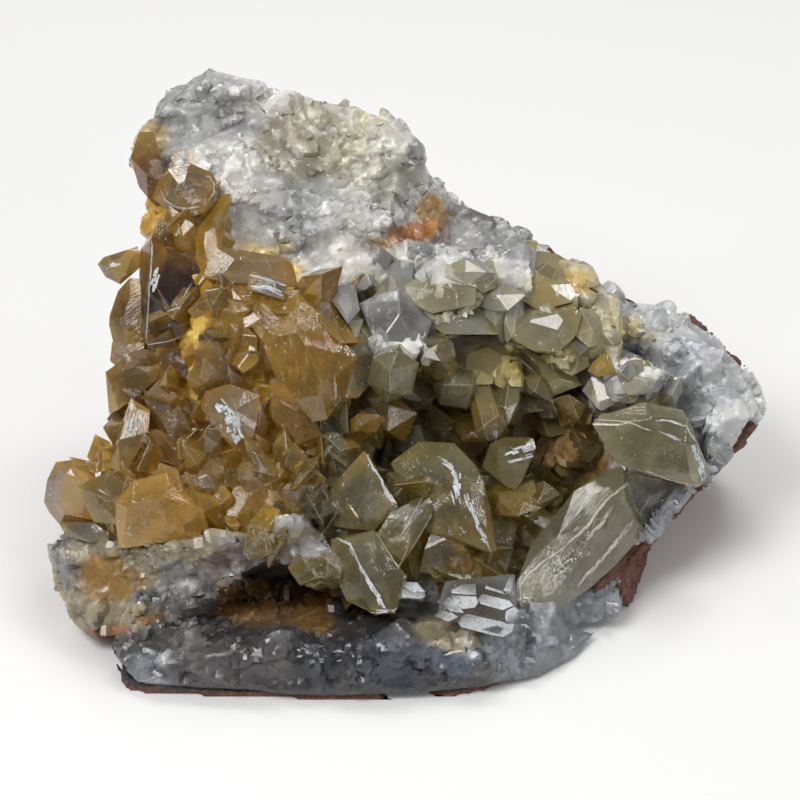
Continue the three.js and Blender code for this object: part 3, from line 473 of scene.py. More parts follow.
class Cluster:
    """Crystals gathered for one piece, with what their material needs to know of each."""

    def __init__(self, seed, stain):
        self.draws = np.random.default_rng(seed)
        self.stain = stain
        self.meshes = []
        self.frames = []
        self.tones = []
        self.clear = []

    def add(self, points, axis_start, axis_end, tones, clear, chops, bevel=BEVEL):
        """A crystal round some points. clear is the middle and radius of what no stain has reached."""
        middle = sum(points, Vector()) / len(points)
        size = max((point - middle).length for point in points)
        bm = chopped(hull_mesh(points), self.draws, chops, middle, size)
        if bevel:
            long = [edge for edge in bm.edges if edge.calc_length() > SHORTEST_BEVELLED]
            sharp = [edge for edge in long if edge.calc_face_angle(0) > FLATTEST_BEVELLED]
            bmesh.ops.bevel(bm, geom=sharp, offset=bevel * MM, segments=1, affect="EDGES", clamp_overlap=True)
            points = [vert.co.copy() for vert in bm.verts]
            bm.free()
            bm = hull_mesh(points)
        bmesh.ops.recalc_face_normals(bm, faces=bm.faces)
        self.meshes.append(bm)
        axis = (axis_end - axis_start).normalized()
        side = axis.cross(NEAR)
        side = side.normalized() if side.length > 0.1 else axis.cross(RIGHT).normalized()
        self.frames.append((axis_start, axis, side, axis.cross(side), (axis_end - axis_start).length))
        shade = self.draws.uniform(0.82, 1.14)
        stain = self.stain[self.draws.integers(len(self.stain))]
        named = [TONES[tone] if isinstance(tone, str) else tone for tone in (*tones, stain)[:3]]
        self.tones.append([tone * shade for tone in named])
        self.clear.append(clear)

    def gem(self, tones, depth, corners):
        """A large crystal, drawn in towards its back so that its sides are real faces."""
        front = [seen(corner) for corner in corners]
        right, up, near = np.mean(corners, axis=0)
        back = [seen(corner) for corner in drawn_in(corners, HULL_BACK, depth)]
        deep = seen((right, up, near - depth * 0.5))
        far = max(front, key=lambda point: (point - front[0]).length)
        middle = seen((right, up, near))
        clear = (middle, CLEAR_SHARE * max((point - middle).length for point in front))
        way = (NEAR + Vector(self.draws.normal(size=3)) * TOP_TILT).normalized()
        levels = sorted((point - middle).dot(way) for point in front)
        top = middle + way * (levels[-1] * 0.5 + levels[len(levels) // 2] * 0.5)
        bm = cut_off(hull_mesh(front + back), top, way)
        points = [vert.co.copy() for vert in bm.verts]
        bm.free()
        self.add(points, (far + deep) / 2, front[0], tones, clear, chops=3, bevel=BEVEL * 1.2)

    def prism(self, root, tip, width, thickness, turn, chisel, tones, large):
        """A flattened six-sided crystal that ends in a chisel edge, left out if it would hide large ones."""
        axis = tip - root
        length = axis.length
        axis.normalize()
        face = NEAR - axis * NEAR.dot(axis)
        if face.length < 0.2:
            face = UP - axis * UP.dot(axis)
        face = Matrix.Rotation(turn, 3, axis) @ face.normalized()
        side = axis.cross(face)
        taper = min(0.62 * width, 0.5 * length)

        def at(along, across, out):
            return root + axis * along + side * (across * width / 2) + face * (out * thickness / 2)

        lean = self.draws.uniform(-0.25, 0.25) * (1 - chisel)
        points = []
        for across, out in ((1, 0), (0.55, 1), (-0.55, 1), (-1, 0), (-0.55, -1), (0.55, -1)):
            points.append(at(0, 0.85 * across, 0.85 * out))
            points.append(at(length - taper * self.draws.uniform(0.6, 1.3), across, out))
        points += [at(length, lean + across, self.draws.uniform(-0.15, 0.15)) for across in (-chisel, chisel)]
        if large and hiding_share(large, points) > MOST_HIDING:
            return
        self.add(points, root, tip, tones, (root + axis * (0.7 * length), 0.55 * length), chops=1)

    def chip(self, middle, way, radius, thickness, stretch, tones):
        """A flat-topped crumb lying on a surface."""
        way = way.normalized()
        long = way.cross(Vector(self.draws.normal(size=3))).normalized()
        wide = way.cross(long)
        count = self.draws.integers(5, 8)
        turn = self.draws.uniform(0, 6.3)
        tilt = self.draws.uniform(-0.08, 0.08, 2)
        points = []
        for k in range(count):
            angle = turn + (k + self.draws.uniform(-0.3, 0.3)) * 2 * math.pi / count
            reach = radius * self.draws.uniform(0.75, 1.1)
            across = long * (math.cos(angle) * reach * stretch) + wide * (math.sin(angle) * reach)
            rise = tilt[0] * math.cos(angle) + tilt[1] * math.sin(angle)
            points.append(middle + across * 0.85 + way * (thickness * (0.5 + rise)))
            points.append(middle + across - way * thickness * 0.5)
        ends = (middle - long * radius, middle + long * radius)
        self.add(points, *ends, tones, (middle, radius * 1.1), chops=2, bevel=0)

    def fill(self, area, large):
        """Small crystals over an area of the view, standing on what is there."""
        middle, half, way, count, lengths, widths, names = area
        mean = (RIGHT * way[0] + UP * way[1] + NEAR * way[2]).normalized()
        for _ in range(count):
            place = np.array(middle) + np.array(half) * self.draws.uniform(-1, 1, 2)
            hit = front_of(body_tree, *place)
            axis = (mean + Vector(self.draws.normal(size=3)) * SPLAY).normalized()
            length = self.draws.uniform(*lengths) * MM
            width = self.draws.uniform(*widths) * MM
            tones = [names[self.draws.integers(len(names))] for _ in range(2)]
            thick, turn, chisel = self.draws.uniform((0.45, 0, 0.2), (0.8, 3.1, 0.9))
            end = place + np.array([axis.dot(RIGHT), axis.dot(UP)]) * length / MM
            if hit is None or front_of(body_tree, *end) is None:
                continue
            root = seen((*place, hit - ROOT_DEPTH))
            self.prism(root, root + axis * length, width, width * thick, turn, chisel, tones, large)


def union(name, meshes):
    """One closed mesh round all the hulls."""
    scene = bpy.context.scene
    bits = bpy.data.collections.new("bits")
    scene.collection.children.link(bits)
    made = []
    for k, bm in enumerate(meshes):
        mesh = bpy.data.meshes.new("bit")
        bm.to_mesh(mesh)
        made.append(bpy.data.objects.new("bit", mesh))
        (bits if k else scene.collection).objects.link(made[-1])
    if len(made) > 1:
        join = made[0].modifiers.new("join", "BOOLEAN")
        join.operation = "UNION"
        join.operand_type = "COLLECTION"
        join.collection = bits
        join.solver = BOOLEAN_SOLVER
    joined = bpy.data.meshes.new_from_object(made[0].evaluated_get(bpy.context.evaluated_depsgraph_get()))
    joined.name = name
    for bit in made:
        mesh = bit.data
        bpy.data.objects.remove(bit)
        bpy.data.meshes.remove(mesh)
    bpy.data.collections.remove(bits)
    return joined


def all_faces(meshes):
    """The hulls' faces as one list for lookups, and which hull each face is of."""
    places, polygons, owners = [], [], []
    for k, bm in enumerate(meshes):
        offset = len(places)
        bm.verts.ensure_lookup_table()
        bm.verts.index_update()
        places += [vert.co.copy() for vert in bm.verts]
        for face in bm.faces:
            polygons.append([offset + vert.index for vert in face.verts])
            owners.append(k)
    return BVHTree.FromPolygons(places, polygons), np.array(owners)


def field_of(items, field, width=1, kind=float):
    """One field of a mesh's items as an array, with a row for each item if it has several numbers."""
    values = np.zeros(len(items) * width, kind)
    items.foreach_get(field, values)
    return values.reshape(-1, width) if width > 1 else values


def vertex_places(mesh):
    return field_of(mesh.vertices, "co", 3)


def vertex_ways(mesh):
    return field_of(mesh.vertex_normals, "vector", 3, np.float32).astype(float)


def corner_arrays(mesh):
    """For each face corner: its face and its place."""
    totals = field_of(mesh.polygons, "loop_total", kind=np.int64)
    corner_vertex = field_of(mesh.loops, "vertex_index", kind=np.int64)
    return np.repeat(np.arange(len(totals)), totals), vertex_places(mesh)[corner_vertex]


def set_attribute(mesh, name, kind, domain, field, values):
    attribute = mesh.attributes.new(name, kind, domain)
    attribute.data.foreach_set(field, np.asarray(values, np.float32).ravel())


def set_colour(mesh, name, domain, tones):
    set_attribute(mesh, name, "FLOAT_COLOR", domain, "color", np.column_stack([tones, np.ones(len(tones))]))


def dress(mesh, material, smooth):
    mesh.materials.clear()
    mesh.materials.append(material)
    for polygon in mesh.polygons:
        polygon.use_smooth = smooth
        polygon.material_index = 0


def narrow_faces(mesh, face_of, places):
    """1 for each face that is a thin strip along a crystal's edge, whitened by the material as wear and as a painted
    highlight.
    """
    area = field_of(mesh.polygons, "area")
    starts = np.searchsorted(face_of, np.arange(len(area)))
    following = np.arange(len(places)) + 1
    following[np.append(starts[1:], len(places)) - 1] = starts
    edges = np.linalg.norm(places[following] - places, axis=1)
    width = 2 * area / np.maximum(np.add.reduceat(edges, starts), 1e-9)
    return (width < STRIP * MM).astype(float)


def crystal_piece(name, cluster, material, nodes):
    """The cluster as one piece, with each face corner's colours and its place in its own crystal."""
    mesh = union(name, cluster.meshes)
    move_vertices(mesh, vertex_places(mesh))
    tree, owners = all_faces(cluster.meshes)
    crystal = np.array([owners[tree.find_nearest(face.center)[2]] for face in mesh.polygons])
    face_of, places = corner_arrays(mesh)
    owner = crystal[face_of]
    start = np.array([frame[0] for frame in cluster.frames])[owner]
    axes = [np.array([frame[k] for frame in cluster.frames])[owner] for k in (2, 3, 1)]
    length = np.array([frame[4] for frame in cluster.frames])[owner]
    local = np.stack([((places - start) * axis).sum(1) for axis in axes], axis=1)
    along = np.clip(local[:, 2] / length, 0, 1)[:, None]
    tones = np.array(cluster.tones)[owner]
    tone = tones[:, 0] * (1 - along**2) + tones[:, 1] * along**2
    middle = np.array([clear[0] for clear in cluster.clear])[owner]
    radius = np.array([clear[1] for clear in cluster.clear])[owner]
    spot = (places - middle) / radius[:, None]
    # Each crystal has a part of the grain's noise to itself.
    offset = np.array([[(7 * k) % 31, (11 * k) % 37, (5 * k) % 29] for k in range(len(cluster.meshes))])[owner]
    set_colour(mesh, "tone", "CORNER", tone)
    set_colour(mesh, "stain", "CORNER", tones[:, 2])
    set_attribute(mesh, "spot", "FLOAT_VECTOR", "CORNER", "vector", spot)
    set_attribute(mesh, "grain", "FLOAT_VECTOR", "CORNER", "vector", local / MM + offset)
    set_attribute(mesh, "edge", "FLOAT", "FACE", "value", narrow_faces(mesh, face_of, places))
    dress(mesh, material, smooth=False)
    return place_piece(name, mesh, nodes)


def place_piece(name, mesh, nodes):
    piece = bpy.data.objects.new(name, mesh)
    bpy.context.scene.collection.objects.link(piece)
    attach(piece, "root")
    if nodes:
        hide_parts(*nodes)
    return piece


# Repeatable noise over space.
def lattice(cells, seed):
    """A number from 0 to 1 for each whole-number cell."""
    cells = cells.astype(np.int64)
    mixed = (cells[..., 0] * 73856093) ^ (cells[..., 1] * 19349663) ^ (cells[..., 2] * 83492791)
    mixed ^= seed * 2654435761
    mixed = ((mixed ^ (mixed >> 13)) * 1274126177) & 0xFFFFFFFF
    mixed = ((mixed ^ (mixed >> 15)) * 2246822519) & 0xFFFFFFFF
    return ((mixed ^ (mixed >> 16)) & 0xFFFFFF) / float(0x1000000)


def smooth_noise(points, scale, seed):
    """Value noise from 0 to 1, with features of the scale given in millimetres."""
    where = np.asarray(points) / (scale * MM)
    cell = np.floor(where)
    part = where - cell
    part = part * part * (3 - 2 * part)
    total = np.zeros(len(where))
    for corner in np.ndindex(2, 2, 2):
        weight = np.prod(np.where(corner, part, 1 - part), axis=1)
        total += weight * lattice(cell + corner, seed)
    return total


def rough_noise(points, scale, seed, octaves):
    """Value noise from 0 to 1 with finer and fainter copies of itself added."""
    total, share, whole = np.zeros(len(points)), 1.0, 0.0
    for k in range(octaves):
        total += share * smooth_noise(points, scale / 2**k, seed + k)
        whole += share
        share *= 0.55
    return total / whole


def facets(points, scale, seed):
    """Broken cleavage faces: each cell's own tilted plane as a height, in cells, and a number for the cell."""
    where = np.asarray(points) / (scale * MM)
    cell = np.floor(where)
    best = np.full(len(where), 1e9)
    height = np.zeros(len(where))
    mark = np.zeros(len(where))
    for offset in np.ndindex(3, 3, 3):
        near = cell + np.array(offset) - 1
        seedpoint = near + np.stack([lattice(near, seed + k) for k in range(3)], axis=1)
        away = where - seedpoint
        far = (away * away).sum(1)
        way = np.stack([lattice(near, seed + 3 + k) - 0.5 for k in range(3)], axis=1)
        way /= np.maximum(np.linalg.norm(way, axis=1), 1e-6)[:, None]
        level = (away * way).sum(1) + 0.5 * (lattice(near, seed + 6) - 0.5)
        closer = far < best
        best = np.where(closer, far, best)
        height = np.where(closer, level, height)
        mark = np.where(closer, lattice(near, seed + 7), mark)
    return height, mark


# The body's colours, some of them painted shade (near black in the recess, dark grey and deep blue on the
# base's front): [right, up, near] of a patch, its half sizes, its tone and how much of it shows.
PATCHES = [
    ([-34, 0, 6], [30, 34, 24], "amber", 0.9),
    # The base's front band: dark grey, partly its own slate colour and partly painted shade, as it faces down.
    ([-30, -46, 18], [44, 11, 24], "dark_grey", 1.0),
    ([-12, -54, 22], [60, 11, 16], "dark_grey", 1.0),
    ([-64, -34, 10], [8, 14, 20], "smoke", 0.9),
    ([-20, 52, -18], [12, 9, 14], "smoke", 0.6),
    ([-6, 46, -18], [9, 10, 12], "grey_green", 0.35),
    ([-13, 59, -22], [11, 5, 9], "grey_green", 0.4),
    ([-38, 58, -20], [13, 9, 14], "grey", 0.8),
    ([-28, 61, -19], [8, 6, 10], "white", 0.6),
    ([-33, 44, -8], [7, 10, 10], "white", 0.5),
    ([-27, 33, -6], [14, 7, 10], "grey", 0.8),
    ([-26, 25, -5], [11, 4, 10], "pale", 0.5),
    ([-7, 26, -7], [13, 12, 10], "white", 0.6),
    ([-10, 38, -10], [8, 6, 10], "grey", 0.6),
    ([6, 40, -18], [7, 5, 12], "grey", 0.6),
    ([17, 36, -20], [10, 5, 12], "dark_grey", 0.6),
    ([-4, 31.6, -12], [5, 1.6, 12], "ochre", 0.6),
    ([3, 33.4, -14], [7, 2, 12], "dark_rust", 0.9),
    ([6.5, 37, -16], [3.4, 4.6, 10], "ochre", 0.8),
    ([5, 34.5, -15], [4, 1.6, 10], "rust", 1.0),
    ([20, 28, -18], [14, 8, 12], "grey", 0.6),
    ([34, 24, -12], [7, 5, 18], "yellow", 0.7),
    ([38, 20, -15], [8, 5, 10], "smoke", 0.6),
    ([47, 19, -20], [7, 4, 10], "blue_grey", 0.6),
    ([53, 12, -15], [13, 9, 14], "frost", 0.5),
    ([60, 4, -13], [8, 8, 10], "blue_grey", 0.6),
    ([66, -3, -12], [8, 8, 12], "frost", 0.4),
    ([56, -14, -4], [14, 8, 12], "blue_grey", 0.7),
    ([47, -26, -2], [12, 8, 12], "blue_grey", 0.8),
    ([-52, 36, -6], [8, 14, 14], "amber", 0.8),
    ([-46, 6, 0], [14, 32, 18], "amber", 0.9),
    ([-26, 8, 4], [19, 20, 16], "yellow", 0.9),
    ([-36, -18, 12], [24, 14, 14], "mustard", 0.9),
    ([-12, -12, 10], [8, 18, 12], "dark_olive", 0.9),
    ([10, -8, -6], [26, 20, 22], "olive", 1.0),
    ([30, -10, -8], [16, 14, 18], "brown", 0.9),
    ([14, 8, -8], [24, 9, 14], "olive", 0.9),
    ([8, 20, -2], [22, 6, 12], "grey_green", 0.8),
    ([34, 14, -6], [16, 8, 12], "olive", 0.7),
    ([10, -28, 6], [18, 10, 14], "olive", 0.9),
    ([26, -22, 2], [12, 12, 14], "dark_olive", 0.9),
    ([-66, -31, 14], [3.4, 7, 14], "mid_grey", 0.9),
    ([-57, -30, 16], [9, 3.6, 14], "smoke", 0.9),
    ([-52, -33, 16], [6, 4.5, 14], "smoke", 0.9),
    ([-58, -35.5, 16], [6.4, 4.6, 14], "ochre", 1.0),
    ([-42.5, -33.5, 20], [6.4, 3.4, 14], "mid_grey", 0.9),
    ([-33.5, -31, 20], [6.5, 4.8, 12], "purple", 1.0),
    ([-24, -30, 19], [9, 4, 10], "purple", 0.9),
    ([-31, -35, 20], [4, 2, 12], "grey", 0.7),
    ([-28, -26.6, 20], [17, 2.6, 12], "smoke", 1.0),
    ([-44, -29, 20], [12, 3, 12], "smoke", 0.8),
    ([-16, -32, 19], [6, 5, 12], "grey", 0.8),
    ([-52.5, -43, 16], [7, 3, 14], "smoke", 0.9),
    ([-44, -46.5, 16], [8, 4.5, 14], "mid_grey", 0.9),
    ([-59, -46.6, 14], [4, 1.3, 12], "dark_rust", 1.0),
    ([-54, -46, 14], [4, 1.2, 12], "rust", 1.0),
    ([-50, -43.6, 14], [3, 1.2, 12], "rust", 1.0),
    # The recess under the lip: its own dark amber, with near-black patches that are painted shade.
    ([-25, -41, 8], [14, 7.5, 14], "dark_amber", 1.0),
    ([-28, -38, 6], [12, 4.5, 12], "near_black_and_painted_shade", 0.5),
    ([-22, -45, 12], [12, 3.5, 12], "smoke", 0.35),
    ([-16.5, -44, 14], [4.4, 3.6, 12], "brown", 0.9),
    ([-7, -42.5, 12], [6, 3.4, 12], "near_black_and_painted_shade", 1.0),
    ([-5.5, -46, 16], [4.5, 2.6, 12], "dark_grey", 0.9),
    # The base's blocks: blue-grey and steel of their own, with dark grey and deep blue partly painted shade.
    ([-54, -51, 20], [5, 5, 14], "dark_grey", 0.9),
    ([-50, -54, 20], [6, 4, 14], "blue_grey", 0.9),
    ([-38, -53.5, 22], [9, 4, 14], "dark_grey", 1.0),
    ([-28, -52.5, 24], [8, 5, 16], "dark_grey", 1.0),
    ([-22.5, -52, 25], [3, 1.6, 14], "mid_grey", 0.6),
    ([-16, -53, 25], [6, 5, 14], "deep_blue_and_painted_shade", 1.0),
    ([-11, -54, 25], [3, 3, 14], "mid_grey", 0.8),
    ([-7.5, -51.5, 25], [3.4, 2.4, 14], "deep_blue_and_painted_shade", 1.0),
    ([-1, -53, 25], [7, 6, 16], "steel", 1.0),
    ([3, -45.5, 24], [6, 3, 14], "dark_grey", 1.0),
    ([-4, -53, 25], [18, 7, 16], "deep_blue_and_painted_shade", 0.6),
    ([12, -51, 22], [9, 6, 14], "steel", 1.0),
    ([14, -46, 22], [12, 5, 12], "smoke", 0.8),
    ([24, -50, 18], [12, 8, 14], "blue_grey", 1.0),
    ([34, -44, 8], [12, 9, 14], "blue_grey", 0.9),
    ([44, -34, 0], [8, 9, 14], "blue_grey", 0.9),
    ([52, -24, 2], [12, 8, 14], "blue_grey", 0.9),
    ([-53, 44, -8], [4, 9, 12], "amber", 0.9),
    ([-50, 52, -10], [5, 4, 12], "mustard", 0.5),
]
# Face sizes, the lumps' narrowing towards their backs, the white rims and the growth in millimetres.
BODY_VOXEL = 0.82
RIND_VOXEL = 0.95
LOBE_BACK = 0.8
RIM = 0.3
CREASE = math.radians(13)
GROWN = 0.7


def body_tones(points, shade, rim):
    """The body's colour at each point: milky grey and white, with its patches, some of which paint shade in the
    recess and on the base, and white on broken edges.
    """
    cloud = rough_noise(points, scale=11, seed=11, octaves=4)
    fine = rough_noise(points, scale=2.4, seed=17, octaves=3)
    share = np.clip((cloud - 0.45) * 3 + (shade - 0.5) * 0.8 + 0.3, 0, 1)[:, None]
    tone = TONES["grey"] * (1 - share) + TONES["white"] * share
    view = in_view(points)
    wobble = (rough_noise(points, scale=7, seed=41, octaves=3) - 0.5) * 0.8 + (shade - 0.5) * 0.35
    for place, half, name, strength in PATCHES:
        away = np.linalg.norm((view - np.array(place)) / np.array(half), axis=1)
        weight = np.clip((1.15 + wobble - away) * 3.0, 0, 1) * strength
        weight = np.clip(weight * (1.1 + 0.8 * (fine - 0.5)), 0, 1)[:, None]
        tone = tone * (1 - weight) + TONES[name] * weight
    tone = tone * (0.66 + 0.34 * shade + 0.2 * (fine - 0.5))[:, None]
    return tone + (np.minimum(tone * 1.8 + 0.03, 0.8) - tone) * rim[:, None]


def remeshed(node, voxel, lobes=()):
    """A CAD node's shape, with lobes grown onto it, as even, fine faces in a mesh of its own."""
    whole = bmesh.new()
    whole.from_mesh(frame["nodes"][node].data)
    for depth, corners in lobes:
        bm = hull_mesh([seen(corner) for corner in corners + drawn_in(corners, LOBE_BACK, depth)])
        lobe = bpy.data.meshes.new("lobe")
        bm.to_mesh(lobe)
        whole.from_mesh(lobe)
        bm.free()
        bpy.data.meshes.remove(lobe)
    start = bpy.data.meshes.new("start")
    whole.to_mesh(start)
    whole.free()
    copy = bpy.data.objects.new("copy", start)
    bpy.context.scene.collection.objects.link(copy)
    remesh = copy.modifiers.new("remesh", "REMESH")
    remesh.mode = "VOXEL"
    remesh.voxel_size = voxel * MM
    mesh = bpy.data.meshes.new_from_object(copy.evaluated_get(bpy.context.evaluated_depsgraph_get()))
    old = copy.data
    bpy.data.objects.remove(copy)
    bpy.data.meshes.remove(old)
    return mesh


def in_box(places):
    """The places, held inside the CAD model's box."""
    return np.clip(places, np.array(CAD_LOW) + 1e-5, np.array(CAD_HIGH) - 1e-5)


def move_vertices(mesh, places):
    mesh.vertices.foreach_set("co", in_box(places).astype(np.float32).ravel())
    mesh.update()


def thinned(places, spacing, draws):
    """Some of the places, no more than one in each cell of a grid."""
    taken, chosen = set(), []
    for k in draws.permutation(len(places)):
        cell = tuple((places[k] // (spacing * MM)).astype(int))
        if cell not in taken:
            taken.add(cell)
            chosen.append(k)
    return chosen


def cleaved(places, ways, spacing, tilt, most, seed):
    """How far to move each point along its way so that the surface becomes flat broken faces, a number
    from 0 to 1 for the face that it is on, and how close it is to that face's edge."""
    draws = np.random.default_rng(seed)
    chosen = thinned(places, spacing, draws)
    tree = KDTree(len(chosen))
    for k, index in enumerate(chosen):
        tree.insert(places[index], k)
    tree.balance()
    centres = places[chosen]
    planes = ways[chosen] + draws.normal(size=(len(chosen), 3)) * tilt
    planes /= np.linalg.norm(planes, axis=1)[:, None]
    sink = draws.uniform(-0.2, 0.35, len(chosen)) * most * MM
    shades = draws.uniform(size=len(chosen))
    near = np.array([[found[1] for found in tree.find_n(place, 5)] for place in places])
    facing = (planes[near] * ways[:, None]).sum(2)
    level = ((centres[near] - places[:, None]) * planes[near]).sum(2) / np.maximum(facing, 0.35) - sink[near]
    level = np.where(facing > 0.3, level, 1.0)
    order = np.argsort(level, axis=1)
    first, second = (np.take_along_axis(level, order[:, k:k + 1], axis=1)[:, 0] for k in (0, 1))
    face = np.take_along_axis(near, order[:, :1], axis=1)[:, 0]
    return np.clip(first, -most * MM, most * MM), shades[face], np.clip(1 - (second - first) / (RIM * MM), 0, 1)


# Where the body comes forward, or goes back behind its crystals: [right, up], half sizes, how far and how steep.
BULGES = [
    ([-45, 18], [12, 24], 6, 3),
    ([-28, 9], [17, 15], 6, 3),
    ([-40, -18], [26, 14], 6, 3),
    ([-22, -39.5], [12, 5], -5, 5),
    ([10, -6], [28, 14], 6, 3),
    ([2, -30], [16, 9], 4, 3),
    ([-37, 61], [6, 5], 3, 2),
    ([-25, 59], [6, 4], 2.5, 2),
    ([-16, 50], [7, 5], 2.5, 2),
    ([-3, 46], [8, 7], 2.5, 2),
    ([-32, 45], [5, 7], 2, 2),
    ([-19, 36], [8, 5], 2.5, 2),
    ([50, 12], [8, 5], 2.5, 2),
    ([64, -2], [6, 6], 2.5, 2),
    ([8, 17], [24, 5.5], -3, 3),
    ([30, 15], [12, 6], -3, 3),
]
# The right lobe, which is smooth: its middle and half sizes.
RIGHT_LOBE = ([60, 2, -14], [13, 15, 16])
# Lumps of the body in front of its solid: how deep, and the corners of the front.
LOBES = [
    (14, [(-69, -27, 7), (-69, -33, 8), (-68.4, -40, 10), (-62.5, -47.5, 14), (-55, -46.5, 17),
        (-50, -42, 19), (-50, -30, 20), (-60, -26, 16)]),
    (12, [(-54, -29, 19), (-44, -27.5, 21.5), (-36, -28, 22), (-34, -35, 22), (-37, -40.5, 21.5),
        (-46, -44, 20), (-54, -45, 18)]),
    (9, [(-38, -27, 22), (-28, -25.5, 22.5), (-23, -27, 22.5), (-25, -32.5, 22.5), (-35, -37.5, 22)]),
    (7, [(-56, -49, 22), (-53.6, -56.8, 24), (-40, -57.8, 25.5), (-30, -58.2, 26), (-30, -50, 29.5),
        (-42, -50, 26.5)]),
    (7, [(-32, -50, 29.5), (-32, -58, 26), (-20, -59.4, 26.3), (-8, -59.4, 26.3), (-8, -50, 28.5)]),
    (7, [(-10, -50, 28.5), (-10, -59.4, 26.3), (4, -58.8, 26.3), (18, -57.4, 25), (18, -50, 26)]),
    (7, [(16, -50, 26), (16, -57.4, 25), (28, -55.5, 20), (36, -51, 14), (40, -46, 8), (30, -44, 14)]),
    (7, [(43, -33, 6.5), (45, -33.4, 5), (45.6, -35, 1), (44.6, -38.4, 1), (42.2, -44, 7.5), (40, -41, 9.5)]),
    (8, [(56, 16.5, -14), (60, 14.5, -15), (65.5, 10.5, -17), (69.6, 7, -16), (72.6, 1.5, -16),
        (72.4, -3.5, -15.5), (70.5, -6.5, -14), (66, -2, -7), (60, 2, -7), (56, 8, -9)]),
    (8, [(64, -4, -6), (67, -6.5, -9), (66, -10, -8), (63.6, -13.6, -6), (61.4, -14, -3), (61.4, -8, -4)]),
    (6, [(45.5, -29, 4), (48.6, -25, 4.5), (54, -19.4, 4.5), (59, -16.4, 4), (62.6, -14, 3), (62, -15.6, 2),
        (56.4, -19.6, 2.5), (52.4, -23, 2.5), (48, -27.6, 3), (45.6, -31, 3)]),
    (9, [(-28, -25, 22), (-16, -25, 21), (-11.5, -30, 20), (-11, -38, 19.5), (-14.5, -38, 19.5),
        (-18, -33, 21), (-27, -31.5, 22)]),
]


def bulged(places, ways):
    """The places of the body's front, moved along the line of sight by the bulges."""
    view = in_view(places)
    total = np.zeros(len(places))
    for place, half, amount, steep in BULGES:
        away = np.linalg.norm((view[:, :2] - place) / np.array(half), axis=1)
        weight = np.clip((1.1 - away) * steep, 0, 1)
        total += amount * weight * weight * (3 - 2 * weight)
    front = np.clip((ways @ VIEW_AXES[2] + 0.2) * 2, 0, 1)
    return places + VIEW_AXES[2] * (total * front * MM)[:, None]


def softened(mesh, rounds):
    """Each vertex moved towards the middle of its neighbours, a number of times."""
    places = vertex_places(mesh)
    first, second = field_of(mesh.edges, "vertices", 2, np.int64).T
    degree = (np.bincount(first, minlength=len(places)) + np.bincount(second, minlength=len(places)))[:, None]
    for _ in range(rounds):
        total = np.zeros_like(places)
        for k in range(3):
            total[:, k] = np.bincount(first, places[second, k], len(places))
            total[:, k] += np.bincount(second, places[first, k], len(places))
        places = 0.4 * places + 0.6 * total / degree
    move_vertices(mesh, places)


def broken_body():
    """The massive celestite: broken into flat faces, and crushed in places into small ones."""
    mesh = remeshed("celestite_mass", BODY_VOXEL, LOBES)
    softened(mesh, 4)
    move_vertices(mesh, bulged(vertex_places(mesh), vertex_ways(mesh)))
    softened(mesh, 6)
    places, ways = vertex_places(mesh), vertex_ways(mesh)
    smooth_ways = ways
    hold = np.clip((places[:, 2] / MM - 1.8) / 3, 0, 1)
    lift, shade, rim = cleaved(places, ways, spacing=6, tilt=0.3, most=1.6, seed=51)
    move_vertices(mesh, places + ways * (hold * lift)[:, None])
    moved, ways = vertex_places(mesh), vertex_ways(mesh)
    crushed = np.clip((rough_noise(moved, scale=9, seed=61, octaves=3) - 0.52) * 8, 0, 1)
    crushed *= ~inside(in_view(moved), *RIGHT_LOBE)
    lift, small_shade, small_rim = cleaved(moved, ways, spacing=2.6, tilt=0.3, most=0.6, seed=52)
    move_vertices(mesh, moved + ways * (hold * crushed * lift)[:, None])
    move_vertices(mesh, vertex_places(mesh) + vertex_ways(mesh) * (hold * GROWN * MM)[:, None])
    shade = shade + (small_shade - 0.5) * crushed
    rim = np.maximum(rim * 0.7, small_rim * crushed * 0.5)
    mesh.name = "celestite_body"
    return mesh, smooth_ways, shade, rim


def rough_rind():
    """The host rock, with a broken, gritty surface."""
    mesh = remeshed("matrix_rind", RIND_VOXEL)
    places, ways = vertex_places(mesh), vertex_ways(mesh)
    middle, _ = facets(places, scale=5, seed=151)
    small, _ = facets(places, scale=2.2, seed=161)
    lift = 0.7 * middle + 0.4 * small + 1.1 * (rough_noise(places, scale=4, seed=181, octaves=4) - 0.5)
    hold = np.clip((places[:, 2] / MM - 0.4) / 1.5, 0, 1)
    places = places + ways * (np.clip(lift, -0.5, 0.8) * hold * MM)[:, None]
    move_vertices(mesh, places)
    mesh.name = "rock_rind"
    return mesh


def rind_tones(points):
    """The rock's colour at each point: brown with pale dust, and grey along the front of the base."""
    cloud = rough_noise(points, scale=6, seed=191, octaves=4)[:, None]
    fine = rough_noise(points, scale=1.2, seed=195, octaves=3)[:, None]
    _, mark = facets(points, scale=2.2, seed=161)
    tone = daylight(128, 88, 74) * (1 - cloud) + daylight(96, 62, 48) * cloud
    view = in_view(points)
    front = (view[:, 0] < 30) & (points[:, 1] < -0.03)
    grey = (np.clip((points[:, 2] / MM - 0.9 + 1.6 * (cloud[:, 0] - 0.5)) * 4, 0, 1) * front)[:, None]
    tone = tone * (1 - grey) + TONES["dark_grey"] * grey
    dust = np.clip((fine - 0.56) * 5, 0, 1) * 0.4
    tone = tone * (1 - dust) + daylight(168, 138, 122) * dust
    return tone * (0.8 + 0.4 * mark[:, None])


def tree_of(mesh):
    """The mesh's faces as one list for lookups."""
    return BVHTree.FromPolygons([vert.co for vert in mesh.vertices], [tuple(face.vertices) for face in mesh.polygons])


def front_of(tree, right, up):
    """How near a tree's front is along one line of sight, or None beside it."""
    hit = tree.ray_cast(EYE, (seen((right, up, 0)) - EYE).normalized())[0]
    return None if hit is None else (hit / MM - VIEW_MIDDLE).dot(NEAR)


# Materials.
CELESTITE_IOR = 1.62


